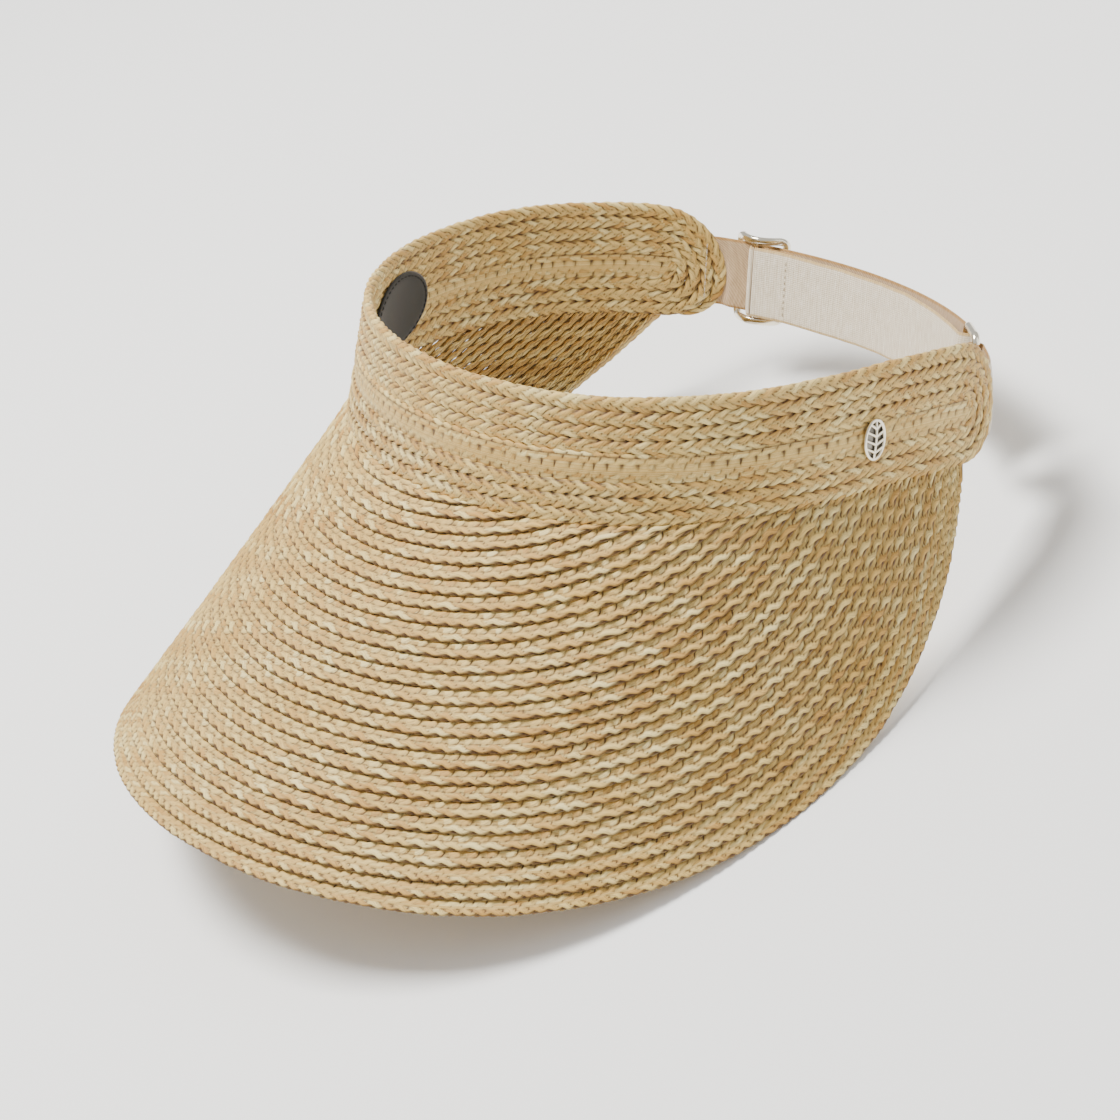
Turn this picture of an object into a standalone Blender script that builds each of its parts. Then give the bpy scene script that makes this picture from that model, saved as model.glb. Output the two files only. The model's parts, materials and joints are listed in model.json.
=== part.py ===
"""Sun visor of sewn raffia braid, with an adjustable webbing strap at the back.

The brim is one long braid, laid in rows round a common centre and shingled, each row on the next one
out. The crown band is a braid sewn round and round a wide centre braid. The strap runs from the far
end of the band through a bowed slider, round a ring, and back to the slider's bar. A short webbing
tab holds the ring at the near end of the band.

Visor frame, in metres: +Z up the band, -Y to the front, +X to the wearer's left, origin at the middle
of the head opening, level with the band's lower edge at the front. The parent empty tips this frame
so that the visor stands on its brim with the origin under the middle of its outline.
"""
import math

import bmesh
import bpy
import numpy as np
from mathutils import Matrix, Vector

MM = 0.001
GAP = 0.3 * MM                      # clearance between pieces that touch

# Crown band
OPENING_HALF_DEPTH = 94.4 * MM      # front to back, at the band's lower edge
OPENING_HALF_WIDTH = 91.2 * MM      # side to side
OPENING_EGG = 0.12                  # how much wider the front is than the back
BAND_HEIGHT = 35.0 * MM
BAND_THICKNESS = 3.2 * MM
BAND_LEAN_FRONT = -5.4 * MM         # change of the half depth from the lower to the upper edge
BAND_LEAN_SIDE = 0.3 * MM           # change of the half width
BAND_SIDE_RISE = 6.1 * MM           # half of how far the sides stand above front and back
BAND_REAR_DIP = -1.9 * MM           # three-lobed correction of that rise
BAND_END_ANGLE = math.radians(127.3)
END_FLARE = 3.5 * MM                # how far the band's rear ends spring outwards
FLARE_START = math.radians(95)      # angle where that begins
BAND_ROWS_BELOW = 3                 # rows under the centre braid; one more lies above it
CENTRE_BRAID_ROWS = 2               # height of the centre braid, in rows
ROW_EDGE_SHARE = 0.22               # part of a row's width over which its faces slope to its edge
TOP_ROW_END_TURN = math.radians(-72)    # where the last row ends, round the band's end
TOP_ROW_END_TAPER = 0.85            # how much of its width it has lost there

# Brim
BRIM_WIDTH_FRONT = 117.4 * MM
BRIM_ROWS = 27
BRIM_FLAT_RATIO = 0.574             # angle in the flat pattern for each angle round the head
BRIM_TIP_STRETCH = 0.54             # how much more the flat pattern turns at the brim's tips
BRIM_TIP_ANGLE = math.radians(118)
BRIM_CENTRE_SETBACK = 84.8 * MM     # from the flat pattern's apex to the centre of the rows
BRIM_DROOP_FRONT = math.radians(52.6)
BRIM_DROOP_TIP = math.radians(12.0)     # added towards the tips
BRIM_DROOP_CHEEK = math.radians(4.5)    # added between front and tips
BRIM_CLEARANCE = 2.2 * MM           # from the band's lower edge to where the rows end
ROW_STRIP_THICKNESS = 1.2 * MM
ROW_STRIP_OVERLAP = 2.6 * MM        # how far a row runs under the row inside it
INNERMOST_MARGIN = 0.6 * MM         # from there to the innermost row at the front
LEAST_ROW_WIDTH = 0.6 * MM          # width at which a row that the band cuts off ends

# Strap
WEBBING_WIDTH = 22.0 * MM
WEBBING_THICKNESS = 1.1 * MM
STRAP_HEIGHT = 25.0 * MM            # middle of the webbing, up the band
STRAP_ARC_RADIUS = 120.0 * MM
STRAP_ARC_BACK = 75.5 * MM          # the arc's rearmost point
ANCHOR_START = math.radians(113)    # where the sewn webbing starts on the band
ANCHOR_END = math.radians(126)
SEAM_ANGLE = math.radians(117)
LOOP_END_LENGTH = 15.0 * MM         # doubled webbing at the slider's bar
LOOP_LAP_SHORT = 1.0 * MM           # how much shorter the folded lap is than the layer under it
LOOP_SETTLE = 6.0 * MM              # from the bar to where the two lie together
RING_RETURN = 3.0 * MM              # webbing past the turn round the ring, before the inner layer
THREAD_WIDTH = 1.2 * MM
THREAD_THICKNESS = 0.5 * MM
SEAM_MARGIN = 2.0 * MM              # from a seam's ends to the webbing's edges
SEAM_FROM_END = 2.5 * MM            # from the loop end's seam to its cut end

# Metal
SLIDER_LENGTH = 18.0 * MM
SLIDER_BAR = 1.6 * MM               # centre bar, across the webbing's layers
SLIDER_SIDE_BAR = 2.0 * MM
SLIDER_RAIL_HEIGHT = 2.0 * MM
BAR_INSET = 0.1 * MM                # the side bars' faces lie this far inside the rails' ends
SLIDER_ANGLE = math.radians(-28.9)
RING_LENGTH = 16.0 * MM
RING_WIRE = 2.4 * MM
RING_CORNER = 2.2 * MM              # radius of the ring's corners, at the wire's middle
RING_ANGLE = math.radians(24.9)
RING_PLAY = 0.7 * MM                # free space between ring and webbing
EDGE_CLEARANCE = 0.8 * MM           # from the webbing's edges to the metal

# Label and emblem
LABEL_WIDTH = 38.0 * MM
LABEL_HEIGHT = 24.0 * MM
LABEL_THICKNESS = 0.8 * MM
LABEL_ANGLE = math.radians(-52)
LABEL_HEIGHT_UP = 16.5 * MM
EMBLEM_WIDTH = 7.0 * MM
EMBLEM_HEIGHT = 12.0 * MM
EMBLEM_THICKNESS = 1.4 * MM
EMBLEM_ANGLE = math.radians(92)
EMBLEM_HEIGHT_UP = 15.0 * MM
SLOT_LENGTH = 2.0 * MM
SLOT_WIDTH = 1.3 * MM
SLOT_TILT = math.radians(35)
SLOT_SPACING_ACROSS = 2.9 * MM
SLOT_SPACING_UP = 2.9 * MM

# How the visor stands
REST_PITCH = math.radians(-28.1)    # it leans back, on the side edges of its brim

# Derived sizes
ROW_PITCH_BAND = BAND_HEIGHT / (2 * BAND_ROWS_BELOW + 1 + CENTRE_BRAID_ROWS)
CENTRE_HALF = CENTRE_BRAID_ROWS * ROW_PITCH_BAND / 2
BAND_CENTRE_UP = BAND_ROWS_BELOW * ROW_PITCH_BAND + CENTRE_HALF
MEAN_RADIUS = (OPENING_HALF_DEPTH + OPENING_HALF_WIDTH) / 2
END_RADIUS = CENTRE_HALF + (BAND_ROWS_BELOW + 1) * ROW_PITCH_BAND
BAND_STRAIGHT = MEAN_RADIUS * BAND_END_ANGLE - END_RADIUS
FLAT_RADIUS = MEAN_RADIUS / BRIM_FLAT_RATIO
ROW_PITCH_BRIM = BRIM_WIDTH_FRONT / BRIM_ROWS
EDGE_RADIUS = FLAT_RADIUS + BRIM_WIDTH_FRONT - BRIM_CENTRE_SETBACK
ROW_TILT = math.asin((ROW_STRIP_THICKNESS + GAP) / ROW_PITCH_BRIM)
ROW_STRIP_WIDTH = (ROW_PITCH_BRIM + ROW_STRIP_OVERLAP) / math.cos(ROW_TILT)
ARC_CENTRE_Y = STRAP_ARC_BACK - STRAP_ARC_RADIUS
# The layers lie far enough apart for the ring's wire and its play, or for the slider's bar and its loop.
RING_SPREAD = RING_WIRE + 2 * RING_PLAY + WEBBING_THICKNESS
LOOP_SPREAD = SLIDER_BAR + 2 * GAP + WEBBING_THICKNESS
LAYER_SPREAD = max(RING_SPREAD, LOOP_SPREAD + WEBBING_THICKNESS + GAP)
OUTER_LAYER = STRAP_ARC_RADIUS + LAYER_SPREAD / 2
INNER_LAYER = STRAP_ARC_RADIUS - LAYER_SPREAD / 2
WEBBING_LOW = STRAP_HEIGHT - WEBBING_WIDTH / 2
WEBBING_HIGH = STRAP_HEIGHT + WEBBING_WIDTH / 2

BAND_STEPS = 30
END_STEPS = 8
ROW_STEP_ANGLE = math.radians(7)


def clear_scene():
    for obj in list(bpy.data.objects):
        bpy.data.objects.remove(obj, do_unlink=True)


def material(name, colour, roughness, metallic=0.0):
    mat = bpy.data.materials.new(name)
    mat.use_nodes = True
    shader = mat.node_tree.nodes["Principled BSDF"]
    shader.inputs["Base Color"].default_value = (*colour, 1.0)
    shader.inputs["Roughness"].default_value = roughness
    shader.inputs["Metallic"].default_value = metallic
    return mat


def add_object(name, mesh, mat, location=(0, 0, 0)):
    obj = bpy.data.objects.new(name, mesh)
    obj.location = location
    obj.parent = stand
    mesh.materials.clear()
    mesh.materials.append(mat)
    visor.objects.link(obj)
    return obj


def loft(name, rails, mat, closed=False, origin=(0, 0, 0)):
    """A solid whose sections are the rows of rails, an array of stations by corners by 3."""
    stations, corners, _ = rails.shape
    faces = []
    for i in range(stations if closed else stations - 1):
        a, b = i * corners, (i + 1) % stations * corners
        faces += [(a + j, a + (j + 1) % corners, b + (j + 1) % corners, b + j) for j in range(corners)]
    if not closed:
        faces += [tuple(range(corners)), tuple(range((stations - 1) * corners, stations * corners))]
    mesh = bpy.data.meshes.new(name)
    mesh.from_pydata((rails.reshape(-1, 3) - np.array(origin)).tolist(), [], faces)
    shape = bmesh.new()
    shape.from_mesh(mesh)
    bmesh.ops.recalc_face_normals(shape, faces=shape.faces)
    shape.to_mesh(mesh)
    shape.free()
    return add_object(name, mesh, mat, origin)


# Crown band

def band_point(phi, up, off):
    """A point on the band: an egg-shaped ellipse that leans with height and rises at the sides."""
    share = up / BAND_HEIGHT
    spring = np.clip((np.abs(phi) - FLARE_START) / (BAND_END_ANGLE - FLARE_START), 0, 1)
    off = off + END_FLARE * spring**2 * (3 - 2 * spring)
    depth = OPENING_HALF_DEPTH + BAND_LEAN_FRONT * share
    width = OPENING_HALF_WIDTH + BAND_LEAN_SIDE * share
    normal = np.stack([np.sin(phi) / width, -np.cos(phi) / depth], -1)
    normal /= np.linalg.norm(normal, axis=-1, keepdims=True)
    x = width * np.sin(phi) * (1 + OPENING_EGG * np.cos(phi)) + off * normal[..., 0]
    y = -depth * np.cos(phi) + off * normal[..., 1]
    rise = BAND_SIDE_RISE * (1 - np.cos(2 * phi)) + BAND_REAR_DIP * (1 - np.cos(3 * phi))
    return np.stack([x, y, up + rise], -1)


def band_rise(phi):
    return float(band_point(np.array(phi), np.array(0.0), 0.0)[2])


def racetrack(offset):
    """Stations at an offset round the centre braid: along its top, round an end, back, round the other."""
    along = np.linspace(-BAND_STRAIGHT, BAND_STRAIGHT, BAND_STEPS + 1)
    turn = np.linspace(math.pi / 2, -math.pi / 2, END_STEPS + 1)[1:-1]
    radius = CENTRE_HALF + offset
    end = BAND_STRAIGHT + radius * np.cos(turn)
    up = np.concatenate([np.full(along.size, radius), radius * np.sin(turn),
                         np.full(along.size, -radius), -radius * np.sin(turn)])
    distance = np.concatenate([along, end, along[::-1], -end])
    return distance, BAND_CENTRE_UP + up


def row_section(inner, outer):
    """Corners of a band row as offset from the centre braid and depth through the band."""
    half, edge = BAND_THICKNESS / 2, ROW_EDGE_SHARE * (outer - inner)
    return [(inner, 0), (inner + edge, half), (outer - edge, half),
            (outer, 0), (outer - edge, -half), (inner + edge, -half)]


def crown_ring(index):
    inner = (index - 1) * ROW_PITCH_BAND + GAP / 2
    outer = index * ROW_PITCH_BAND - GAP / 2
    rails = []
    for offset, depth in row_section(inner, outer):
        distance, up = racetrack(offset)
        rails.append(band_point(distance / MEAN_RADIUS, up, depth))
    loft(f"crown_ring_{index}", np.stack(rails, 1), raffia, closed=True)


def crown_centre_braid():
    """The wide flat braid that the rings are sewn round, with rounded ends."""
    turn = np.radians([68, 45, 22, 8])
    end = BAND_STRAIGHT + CENTRE_HALF * np.cos(turn)
    along = np.linspace(-BAND_STRAIGHT, BAND_STRAIGHT, BAND_STEPS + 1)
    distance = np.concatenate([-end[::-1], along, end])
    reach = CENTRE_HALF - GAP / 2
    at_end = reach * np.sin(turn)
    half_height = np.concatenate([at_end[::-1], np.full(along.size, reach), at_end])
    distance = np.clip(distance, -BAND_STRAIGHT - reach, BAND_STRAIGHT + reach)
    half = BAND_THICKNESS / 2
    corners = [(-1, 0), (-0.8, half), (0.8, half), (1, 0), (0.8, -half), (-0.8, -half)]
    rails = [band_point(distance / MEAN_RADIUS, BAND_CENTRE_UP + share * half_height, depth)
             for share, depth in corners]
    loft("crown_centre_braid", np.stack(rails, 1), raffia)


def crown_top_row():
    """The last row: over the top, round both ends, and tapered out under the lower corners."""
    last = TOP_ROW_END_TURN
    along = np.linspace(-BAND_STRAIGHT, BAND_STRAIGHT, BAND_STEPS + 1)
    turn = np.linspace(math.pi / 2, -math.pi / 2, END_STEPS + 1)[1:-1]
    turn = np.append(turn[turn > last + 0.1], last)
    taper = np.where(turn < 0, 1 - TOP_ROW_END_TAPER * (turn / last) ** 2, 1.0)
    inner = BAND_ROWS_BELOW * ROW_PITCH_BAND + GAP / 2
    outer = (BAND_ROWS_BELOW + 1) * ROW_PITCH_BAND - GAP / 2
    rails = []
    for offset, depth in row_section(inner, outer):
        end_offset = inner + (offset - inner) * taper
        radius = CENTRE_HALF + end_offset
        end = BAND_STRAIGHT + radius * np.cos(turn)
        end_up = radius * np.sin(turn)
        distance = np.concatenate([-end[::-1], along, end])
        up = np.concatenate([end_up[::-1], np.full(along.size, CENTRE_HALF + offset), end_up])
        thin = np.concatenate([taper[::-1], np.ones(along.size), taper])
        rails.append(band_point(distance / MEAN_RADIUS, BAND_CENTRE_UP + up, depth * thin))
    loft("crown_top_row", np.stack(rails, 1), raffia)


# Brim

def flat_angle(phi):
    """Angle in the flat pattern of the angle phi round the head; it turns faster towards the tips."""
    return BRIM_FLAT_RATIO * phi * (1 + BRIM_TIP_STRETCH * (np.abs(phi) / BRIM_TIP_ANGLE) ** 4)


def head_angle(theta):
    """The inverse of flat_angle."""
    phi = np.linspace(-math.pi, math.pi, 2001)
    return np.interp(theta, flat_angle(phi), phi)


def brim_point(phi, along, above):
    """A point on the brim: straight down the slope from the band's lower edge, and off its surface."""
    droop = (BRIM_DROOP_FRONT + BRIM_DROOP_TIP * np.sin(0.75 * phi) ** 2
             + BRIM_DROOP_CHEEK * np.sin(1.5 * phi) ** 2)
    start = band_point(phi, np.zeros_like(phi), 0.0)
    outward = band_point(phi, np.zeros_like(phi), 1.0) - start
    upward = np.array([0.0, 0.0, 1.0])
    cos, sin = np.cos(droop)[..., None], np.sin(droop)[..., None]
    slope = cos * outward - sin * upward
    normal = sin * outward + cos * upward
    return start + along[..., None] * slope + above * normal


def end_turn(radius):
    """How far from the front an arc of this radius runs round the rows' centre before it meets the band."""
    reach = FLAT_RADIUS + BRIM_CLEARANCE
    cosine = (reach**2 - BRIM_CENTRE_SETBACK**2 - radius**2) / (2 * BRIM_CENTRE_SETBACK * radius)
    return math.acos(min(cosine, 1.0))


def band_radius(turn):
    """Distance from the rows' centre to the band, at an angle round that centre."""
    reach = FLAT_RADIUS + BRIM_CLEARANCE
    return np.sqrt(reach**2 - (BRIM_CENTRE_SETBACK * np.sin(turn)) ** 2) - BRIM_CENTRE_SETBACK * np.cos(turn)


def row_turns(inner, outer):
    """Stations along a row: every row shares the regular ones, and has its own where the band cuts it."""
    last, cut = end_turn(outer - LEAST_ROW_WIDTH), end_turn(inner)
    regular = [ROW_STEP_ANGLE * i for i in range(int(last / ROW_STEP_ANGLE) + 1)]
    clear = ROW_STEP_ANGLE / 4
    turns = [turn for turn in regular if abs(turn - cut) > clear and last - turn > clear]
    half = np.array(sorted(turns + [cut, last]))
    half = half[half > 0]
    return np.concatenate([-half[::-1], [0.0], half])


def brim_rail(radius, above, turn):
    """Points at given distances from the rows' centre, heights off the surface and angles."""
    forward = BRIM_CENTRE_SETBACK + radius * np.cos(turn)
    sideways = radius * np.sin(turn)
    phi = head_angle(np.arctan2(sideways, forward))
    return brim_point(phi, np.hypot(forward, sideways) - FLAT_RADIUS, above[:, None])


def brim_row(index):
    """One row: a flat strip tilted like a shingle, its outer edge on top of the next row out."""
    outer = EDGE_RADIUS - (BRIM_ROWS - index) * ROW_PITCH_BRIM
    inner = outer - ROW_STRIP_WIDTH * math.cos(ROW_TILT)
    inner = max(inner, float(band_radius(0.0)) + INNERMOST_MARGIN)
    turn = row_turns(inner, outer)
    cut = np.maximum(inner, band_radius(turn))
    rails = []
    for side, face in ((1, 1), (1, -1), (0, -1), (0, 1)):
        radius = np.where(side, outer, cut)
        above = (ROW_STRIP_WIDTH / 2 * math.cos(ROW_TILT) - (outer - radius)) * math.tan(ROW_TILT)
        above = above + face * ROW_STRIP_THICKNESS / 2 * math.cos(ROW_TILT)
        radius = radius - face * ROW_STRIP_THICKNESS / 2 * math.sin(ROW_TILT)
        rails.append(brim_rail(radius, above, turn))
    loft(f"brim_row_{index:02d}", np.stack(rails, 1), raffia)


# Strap

def arc_point(angle, radius):
    """A point on the strap's arc, in plan; angle 0 is the middle of the back."""
    return np.stack([radius * np.sin(angle), ARC_CENTRE_Y + radius * np.cos(angle)], -1)


def ease(start, start_way, end, end_way, steps):
    """A smooth plan curve between two points with given directions (cubic Hermite)."""
    t = np.linspace(0, 1, steps + 1)[:, None]
    reach = np.linalg.norm(end - start)
    return ((2 * t**3 - 3 * t**2 + 1) * start + (t**3 - 2 * t**2 + t) * reach * start_way
            + (3 * t**2 - 2 * t**3) * end + (t**3 - t**2) * reach * end_way)


def unit(vector):
    return vector / np.linalg.norm(vector)


def anchor_path(side, height, layer):
    """Plan points of webbing sewn inside the band's end, at one height; layer 0 lies on the band."""
    off = -(BAND_THICKNESS / 2 + GAP + WEBBING_THICKNESS / 2 + layer * (WEBBING_THICKNESS + GAP))
    phi = side * np.linspace(ANCHOR_START, ANCHOR_END, 5)
    up = np.array([height - band_rise(float(p)) for p in phi])
    return band_point(phi, up, off)[:, :2]


def ribbon(name, low_path, high_path, mat, origin=(0, 0, 0)):
    """Webbing of constant thickness on edge, between a lower and an upper plan path."""
    rails = []
    for path, height in ((low_path, WEBBING_LOW), (high_path, WEBBING_HIGH)):
        way = np.gradient(path, axis=0)
        way /= np.linalg.norm(way, axis=1, keepdims=True)
        across = np.stack([way[:, 1], -way[:, 0]], -1) * WEBBING_THICKNESS / 2
        level = np.full((len(path), 1), height)
        rails.append((np.hstack([path + across, level]), np.hstack([path - across, level])))
    (low_a, low_b), (high_a, high_b) = rails
    return loft(name, np.stack([low_a, low_b, high_b, high_a], 1), mat, origin=origin)


def bar_angle(centre_angle, length, bar, side):
    """Angle on the arc of a frame's end bar."""
    return centre_angle + side * (length - bar) / 2 / STRAP_ARC_RADIUS


def around(centre, radius, first, last, steps):
    angle = np.linspace(first, last, steps + 1)
    return centre + radius * np.stack([np.cos(angle), np.sin(angle)], -1)


def strap_webbing_outer():
    """From the far end of the band, past the slider and round the ring's strap bar."""
    ring_bar = bar_angle(RING_ANGLE, RING_LENGTH, RING_WIRE, -1)
    start = SLIDER_ANGLE - SLIDER_LENGTH / 2 / STRAP_ARC_RADIUS
    arc = arc_point(np.linspace(start, ring_bar, 16), OUTER_LAYER)
    way = unit(arc[1] - arc[0])
    turn = around(arc_point(ring_bar, STRAP_ARC_RADIUS), LAYER_SPREAD / 2,
                  math.pi / 2 - ring_bar, -math.pi / 2 - ring_bar, 8)[1:]
    back = arc_point(np.linspace(ring_bar, ring_bar - RING_RETURN / STRAP_ARC_RADIUS, 3), INNER_LAYER)[1:]
    paths = []
    for height in (WEBBING_LOW, WEBBING_HIGH):
        sewn = anchor_path(-1, height, 0)
        lead = ease(sewn[-1], unit(sewn[-1] - sewn[-2]), arc[0], way, 4)[1:-1]
        paths.append(np.concatenate([sewn, lead, arc, turn, back]))
    ribbon("strap_webbing_outer", *paths, webbing_tan)


def strap_webbing_inner():
    """The layer that comes back from the ring to the looped end at the slider."""
    ring_bar = bar_angle(RING_ANGLE, RING_LENGTH, RING_WIRE, -1) - (RING_RETURN + GAP) / STRAP_ARC_RADIUS
    loop = SLIDER_ANGLE + (LOOP_END_LENGTH + GAP) / STRAP_ARC_RADIUS
    path = arc_point(np.linspace(loop, ring_bar, 12), INNER_LAYER)
    ribbon("strap_webbing_inner", path, path, webbing_cream)


def slider_bar_radius():
    return INNER_LAYER + WEBBING_THICKNESS / 2 + GAP + SLIDER_BAR / 2


def strap_loop_end(pivot):
    """The webbing's end, folded round the slider's bar and doubled back on itself."""
    end = SLIDER_ANGLE + LOOP_END_LENGTH / STRAP_ARC_RADIUS
    inner = arc_point(np.linspace(end, SLIDER_ANGLE, 4), INNER_LAYER)
    spread = slider_bar_radius() - INNER_LAYER
    fold = around(arc_point(SLIDER_ANGLE, slider_bar_radius()), spread,
                  -math.pi / 2 - SLIDER_ANGLE, -3 * math.pi / 2 - SLIDER_ANGLE, 8)[1:]
    doubled = INNER_LAYER + WEBBING_THICKNESS + GAP
    angle = np.linspace(SLIDER_ANGLE, end - LOOP_LAP_SHORT / STRAP_ARC_RADIUS, 6)[1:]
    settle = 1 - np.clip((angle - SLIDER_ANGLE) * STRAP_ARC_RADIUS / LOOP_SETTLE, 0, 1)
    radius = doubled + (INNER_LAYER + 2 * spread - doubled) * settle**2
    outer = arc_point(angle, radius)
    path = np.concatenate([inner, fold, outer])
    ribbon("strap_loop_end", path, path, webbing_cream, origin=pivot)


def ring_tab():
    """Short webbing loop: two layers inside the near end of the band, folded round the ring's tab bar."""
    bar = bar_angle(RING_ANGLE, RING_LENGTH, RING_WIRE, 1)
    centre = arc_point(bar, STRAP_ARC_RADIUS)
    radius = RING_WIRE / 2 + RING_PLAY + WEBBING_THICKNESS / 2
    fold = around(centre, radius, math.pi / 2 - bar, 3 * math.pi / 2 - bar, 8)
    way = np.array([math.cos(bar), -math.sin(bar)])
    paths = []
    for height in (WEBBING_LOW, WEBBING_HIGH):
        outer, inner = anchor_path(1, height, 0), anchor_path(1, height, 1)
        lead_out = ease(outer[-1], unit(outer[-1] - outer[-2]), fold[0], -way, 5)[1:-1]
        lead_in = ease(fold[-1], way, inner[-1], unit(inner[-2] - inner[-1]), 5)[1:-1]
        paths.append(np.concatenate([outer, lead_out, fold, lead_in, inner[::-1]]))
    ribbon("ring_tab", *paths, webbing_cream)


def seam(name, centre, facing, origin=(0, 0, 0)):
    """A row of stitches, as a flat bar of thread standing across the webbing."""
    along = np.array([-facing[1], facing[0]])
    half_height = WEBBING_WIDTH / 2 - SEAM_MARGIN
    box = bmesh.new()
    bmesh.ops.create_cube(box, size=1.0)
    for vert in box.verts:
        spot = centre + along * vert.co.x * THREAD_WIDTH + facing * vert.co.y * THREAD_THICKNESS
        vert.co = Vector((*spot, STRAP_HEIGHT + 2 * vert.co.z * half_height)) - Vector(origin)
    box.normal_update()
    bmesh.ops.recalc_face_normals(box, faces=box.faces)
    mesh = bpy.data.meshes.new(name)
    box.to_mesh(mesh)
    box.free()
    add_object(name, mesh, thread, origin)


def anchor_seam(name, side, layer):
    """Seam through the webbing at the band's end, on its inner face."""
    depth = BAND_THICKNESS / 2 + (layer + 1) * (WEBBING_THICKNESS + GAP) + GAP + THREAD_THICKNESS / 2
    phi = np.array(side * SEAM_ANGLE)
    points = [band_point(phi, np.array(height - band_rise(float(phi))), -depth)[:2]
              for height in (WEBBING_LOW, WEBBING_HIGH)]
    outward = band_point(phi, np.array(0.0), 1.0) - band_point(phi, np.array(0.0), 0.0)
    innermost = min(points, key=lambda spot: float(spot @ outward[:2]))
    seam(name, innermost, unit(outward[:2]))


def loop_seam(pivot):
    angle = SLIDER_ANGLE + (LOOP_END_LENGTH - SEAM_FROM_END) / STRAP_ARC_RADIUS
    radius = INNER_LAYER - WEBBING_THICKNESS / 2 - GAP - THREAD_THICKNESS / 2
    seam("loop_end_seam", arc_point(angle, radius), np.array([math.sin(angle), math.cos(angle)]), pivot)


# Metal

def box_mesh(low, high):
    """A box between two corners given along the strap, outwards and up."""
    shape = bmesh.new()
    bmesh.ops.create_cube(shape, size=1.0)
    middle, size = (Vector(low) + Vector(high)) / 2, Vector(high) - Vector(low)
    for vert in shape.verts:
        vert.co = middle + Vector(c * s for c, s in zip(vert.co, size))
    mesh = bpy.data.meshes.new("bar")
    shape.to_mesh(mesh)
    shape.free()
    return mesh


def round_bar_mesh(along, out, radius, half_height):
    """An upright round bar at a place given along the strap and outwards."""
    shape = bmesh.new()
    bmesh.ops.create_cone(shape, cap_ends=True, segments=16, radius1=radius, radius2=radius,
                          depth=2 * half_height, matrix=Matrix.Translation((along, out, 0)))
    mesh = bpy.data.meshes.new("round_bar")
    shape.to_mesh(mesh)
    shape.free()
    return mesh


def join_solids(target, meshes):
    """Boolean union of further solids into target, applied to its mesh."""
    tools = []
    for mesh in meshes:
        tool = bpy.data.objects.new("tool", mesh)
        tool.matrix_world = target.matrix_world
        tool.hide_render = True
        tool.display_type = "WIRE"
        cutters.objects.link(tool)
        union = target.modifiers.new("union", "BOOLEAN")
        union.operation = "UNION"
        union.object = tool
        tools.append(tool)
    apply_modifiers(target)
    for tool in tools:
        bpy.data.objects.remove(tool, do_unlink=True)


def apply_modifiers(obj):
    bpy.context.view_layer.update()
    mats = list(obj.data.materials)
    evaluated = obj.evaluated_get(bpy.context.evaluated_depsgraph_get())
    mesh = bpy.data.meshes.new_from_object(evaluated)
    obj.modifiers.clear()
    obj.data = mesh
    mesh.materials.clear()
    for mat in mats:
        mesh.materials.append(mat)


def bowed_rail(low, high):
    """One long side of the slider: a bar bowed so that its ends lie outside the webbing."""
    steps = 8
    along = np.linspace(-SLIDER_LENGTH / 2, SLIDER_LENGTH / 2, steps + 1)
    centre_out = slider_bar_radius() - STRAP_ARC_RADIUS
    side_out = OUTER_LAYER + WEBBING_THICKNESS / 2 + GAP + SLIDER_SIDE_BAR / 2 - STRAP_ARC_RADIUS
    out = centre_out + (side_out - centre_out) * (2 * along / SLIDER_LENGTH) ** 2
    half = SLIDER_SIDE_BAR / 2
    corners = [(-half, low), (half, low), (half, high), (-half, high)]
    rails = [np.stack([along, out + shift, np.full(along.size, level)], -1) for shift, level in corners]
    return np.stack(rails, 1), centre_out, side_out


def slider_buckle(pivot):
    """Bowed slider: two rails, two side bars outside the webbing and the bar that holds the loop."""
    edge = WEBBING_WIDTH / 2 + EDGE_CLEARANCE
    reach = edge + SLIDER_RAIL_HEIGHT
    rails, centre_out, side_out = bowed_rail(edge, reach)
    obj = loft("slider_buckle", rails, metal)
    lower = obj.copy()
    lower.data = obj.data.copy()
    lower.data.transform(Matrix.Scale(-1, 4, (0, 0, 1)))
    lower.data.flip_normals()
    parts = [lower.data]
    bury = SLIDER_RAIL_HEIGHT / 2
    half = SLIDER_LENGTH / 2
    thin = SLIDER_SIDE_BAR / 2 - BAR_INSET
    for end in (-1, 1):
        near, far = sorted((end * (half - SLIDER_SIDE_BAR), end * (half - BAR_INSET)))
        parts.append(box_mesh((near, side_out - thin, -edge - bury), (far, side_out + thin, edge + bury)))
    parts.append(round_bar_mesh(0.0, centre_out, SLIDER_BAR / 2, edge + bury))
    bpy.data.objects.remove(lower, do_unlink=True)
    join_solids(obj, parts)
    place_on_arc(obj, SLIDER_ANGLE, pivot)


def place_on_arc(obj, angle, pivot):
    """Turns a mesh drawn along the strap, outwards and up into its place on the arc."""
    spot = arc_point(angle, STRAP_ARC_RADIUS)
    turn = Matrix.Rotation(-angle, 4, "Z")
    place = Matrix.Translation(Vector((*spot, STRAP_HEIGHT)) - Vector(pivot)) @ turn
    obj.data.transform(place)
    obj.location = pivot


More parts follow.
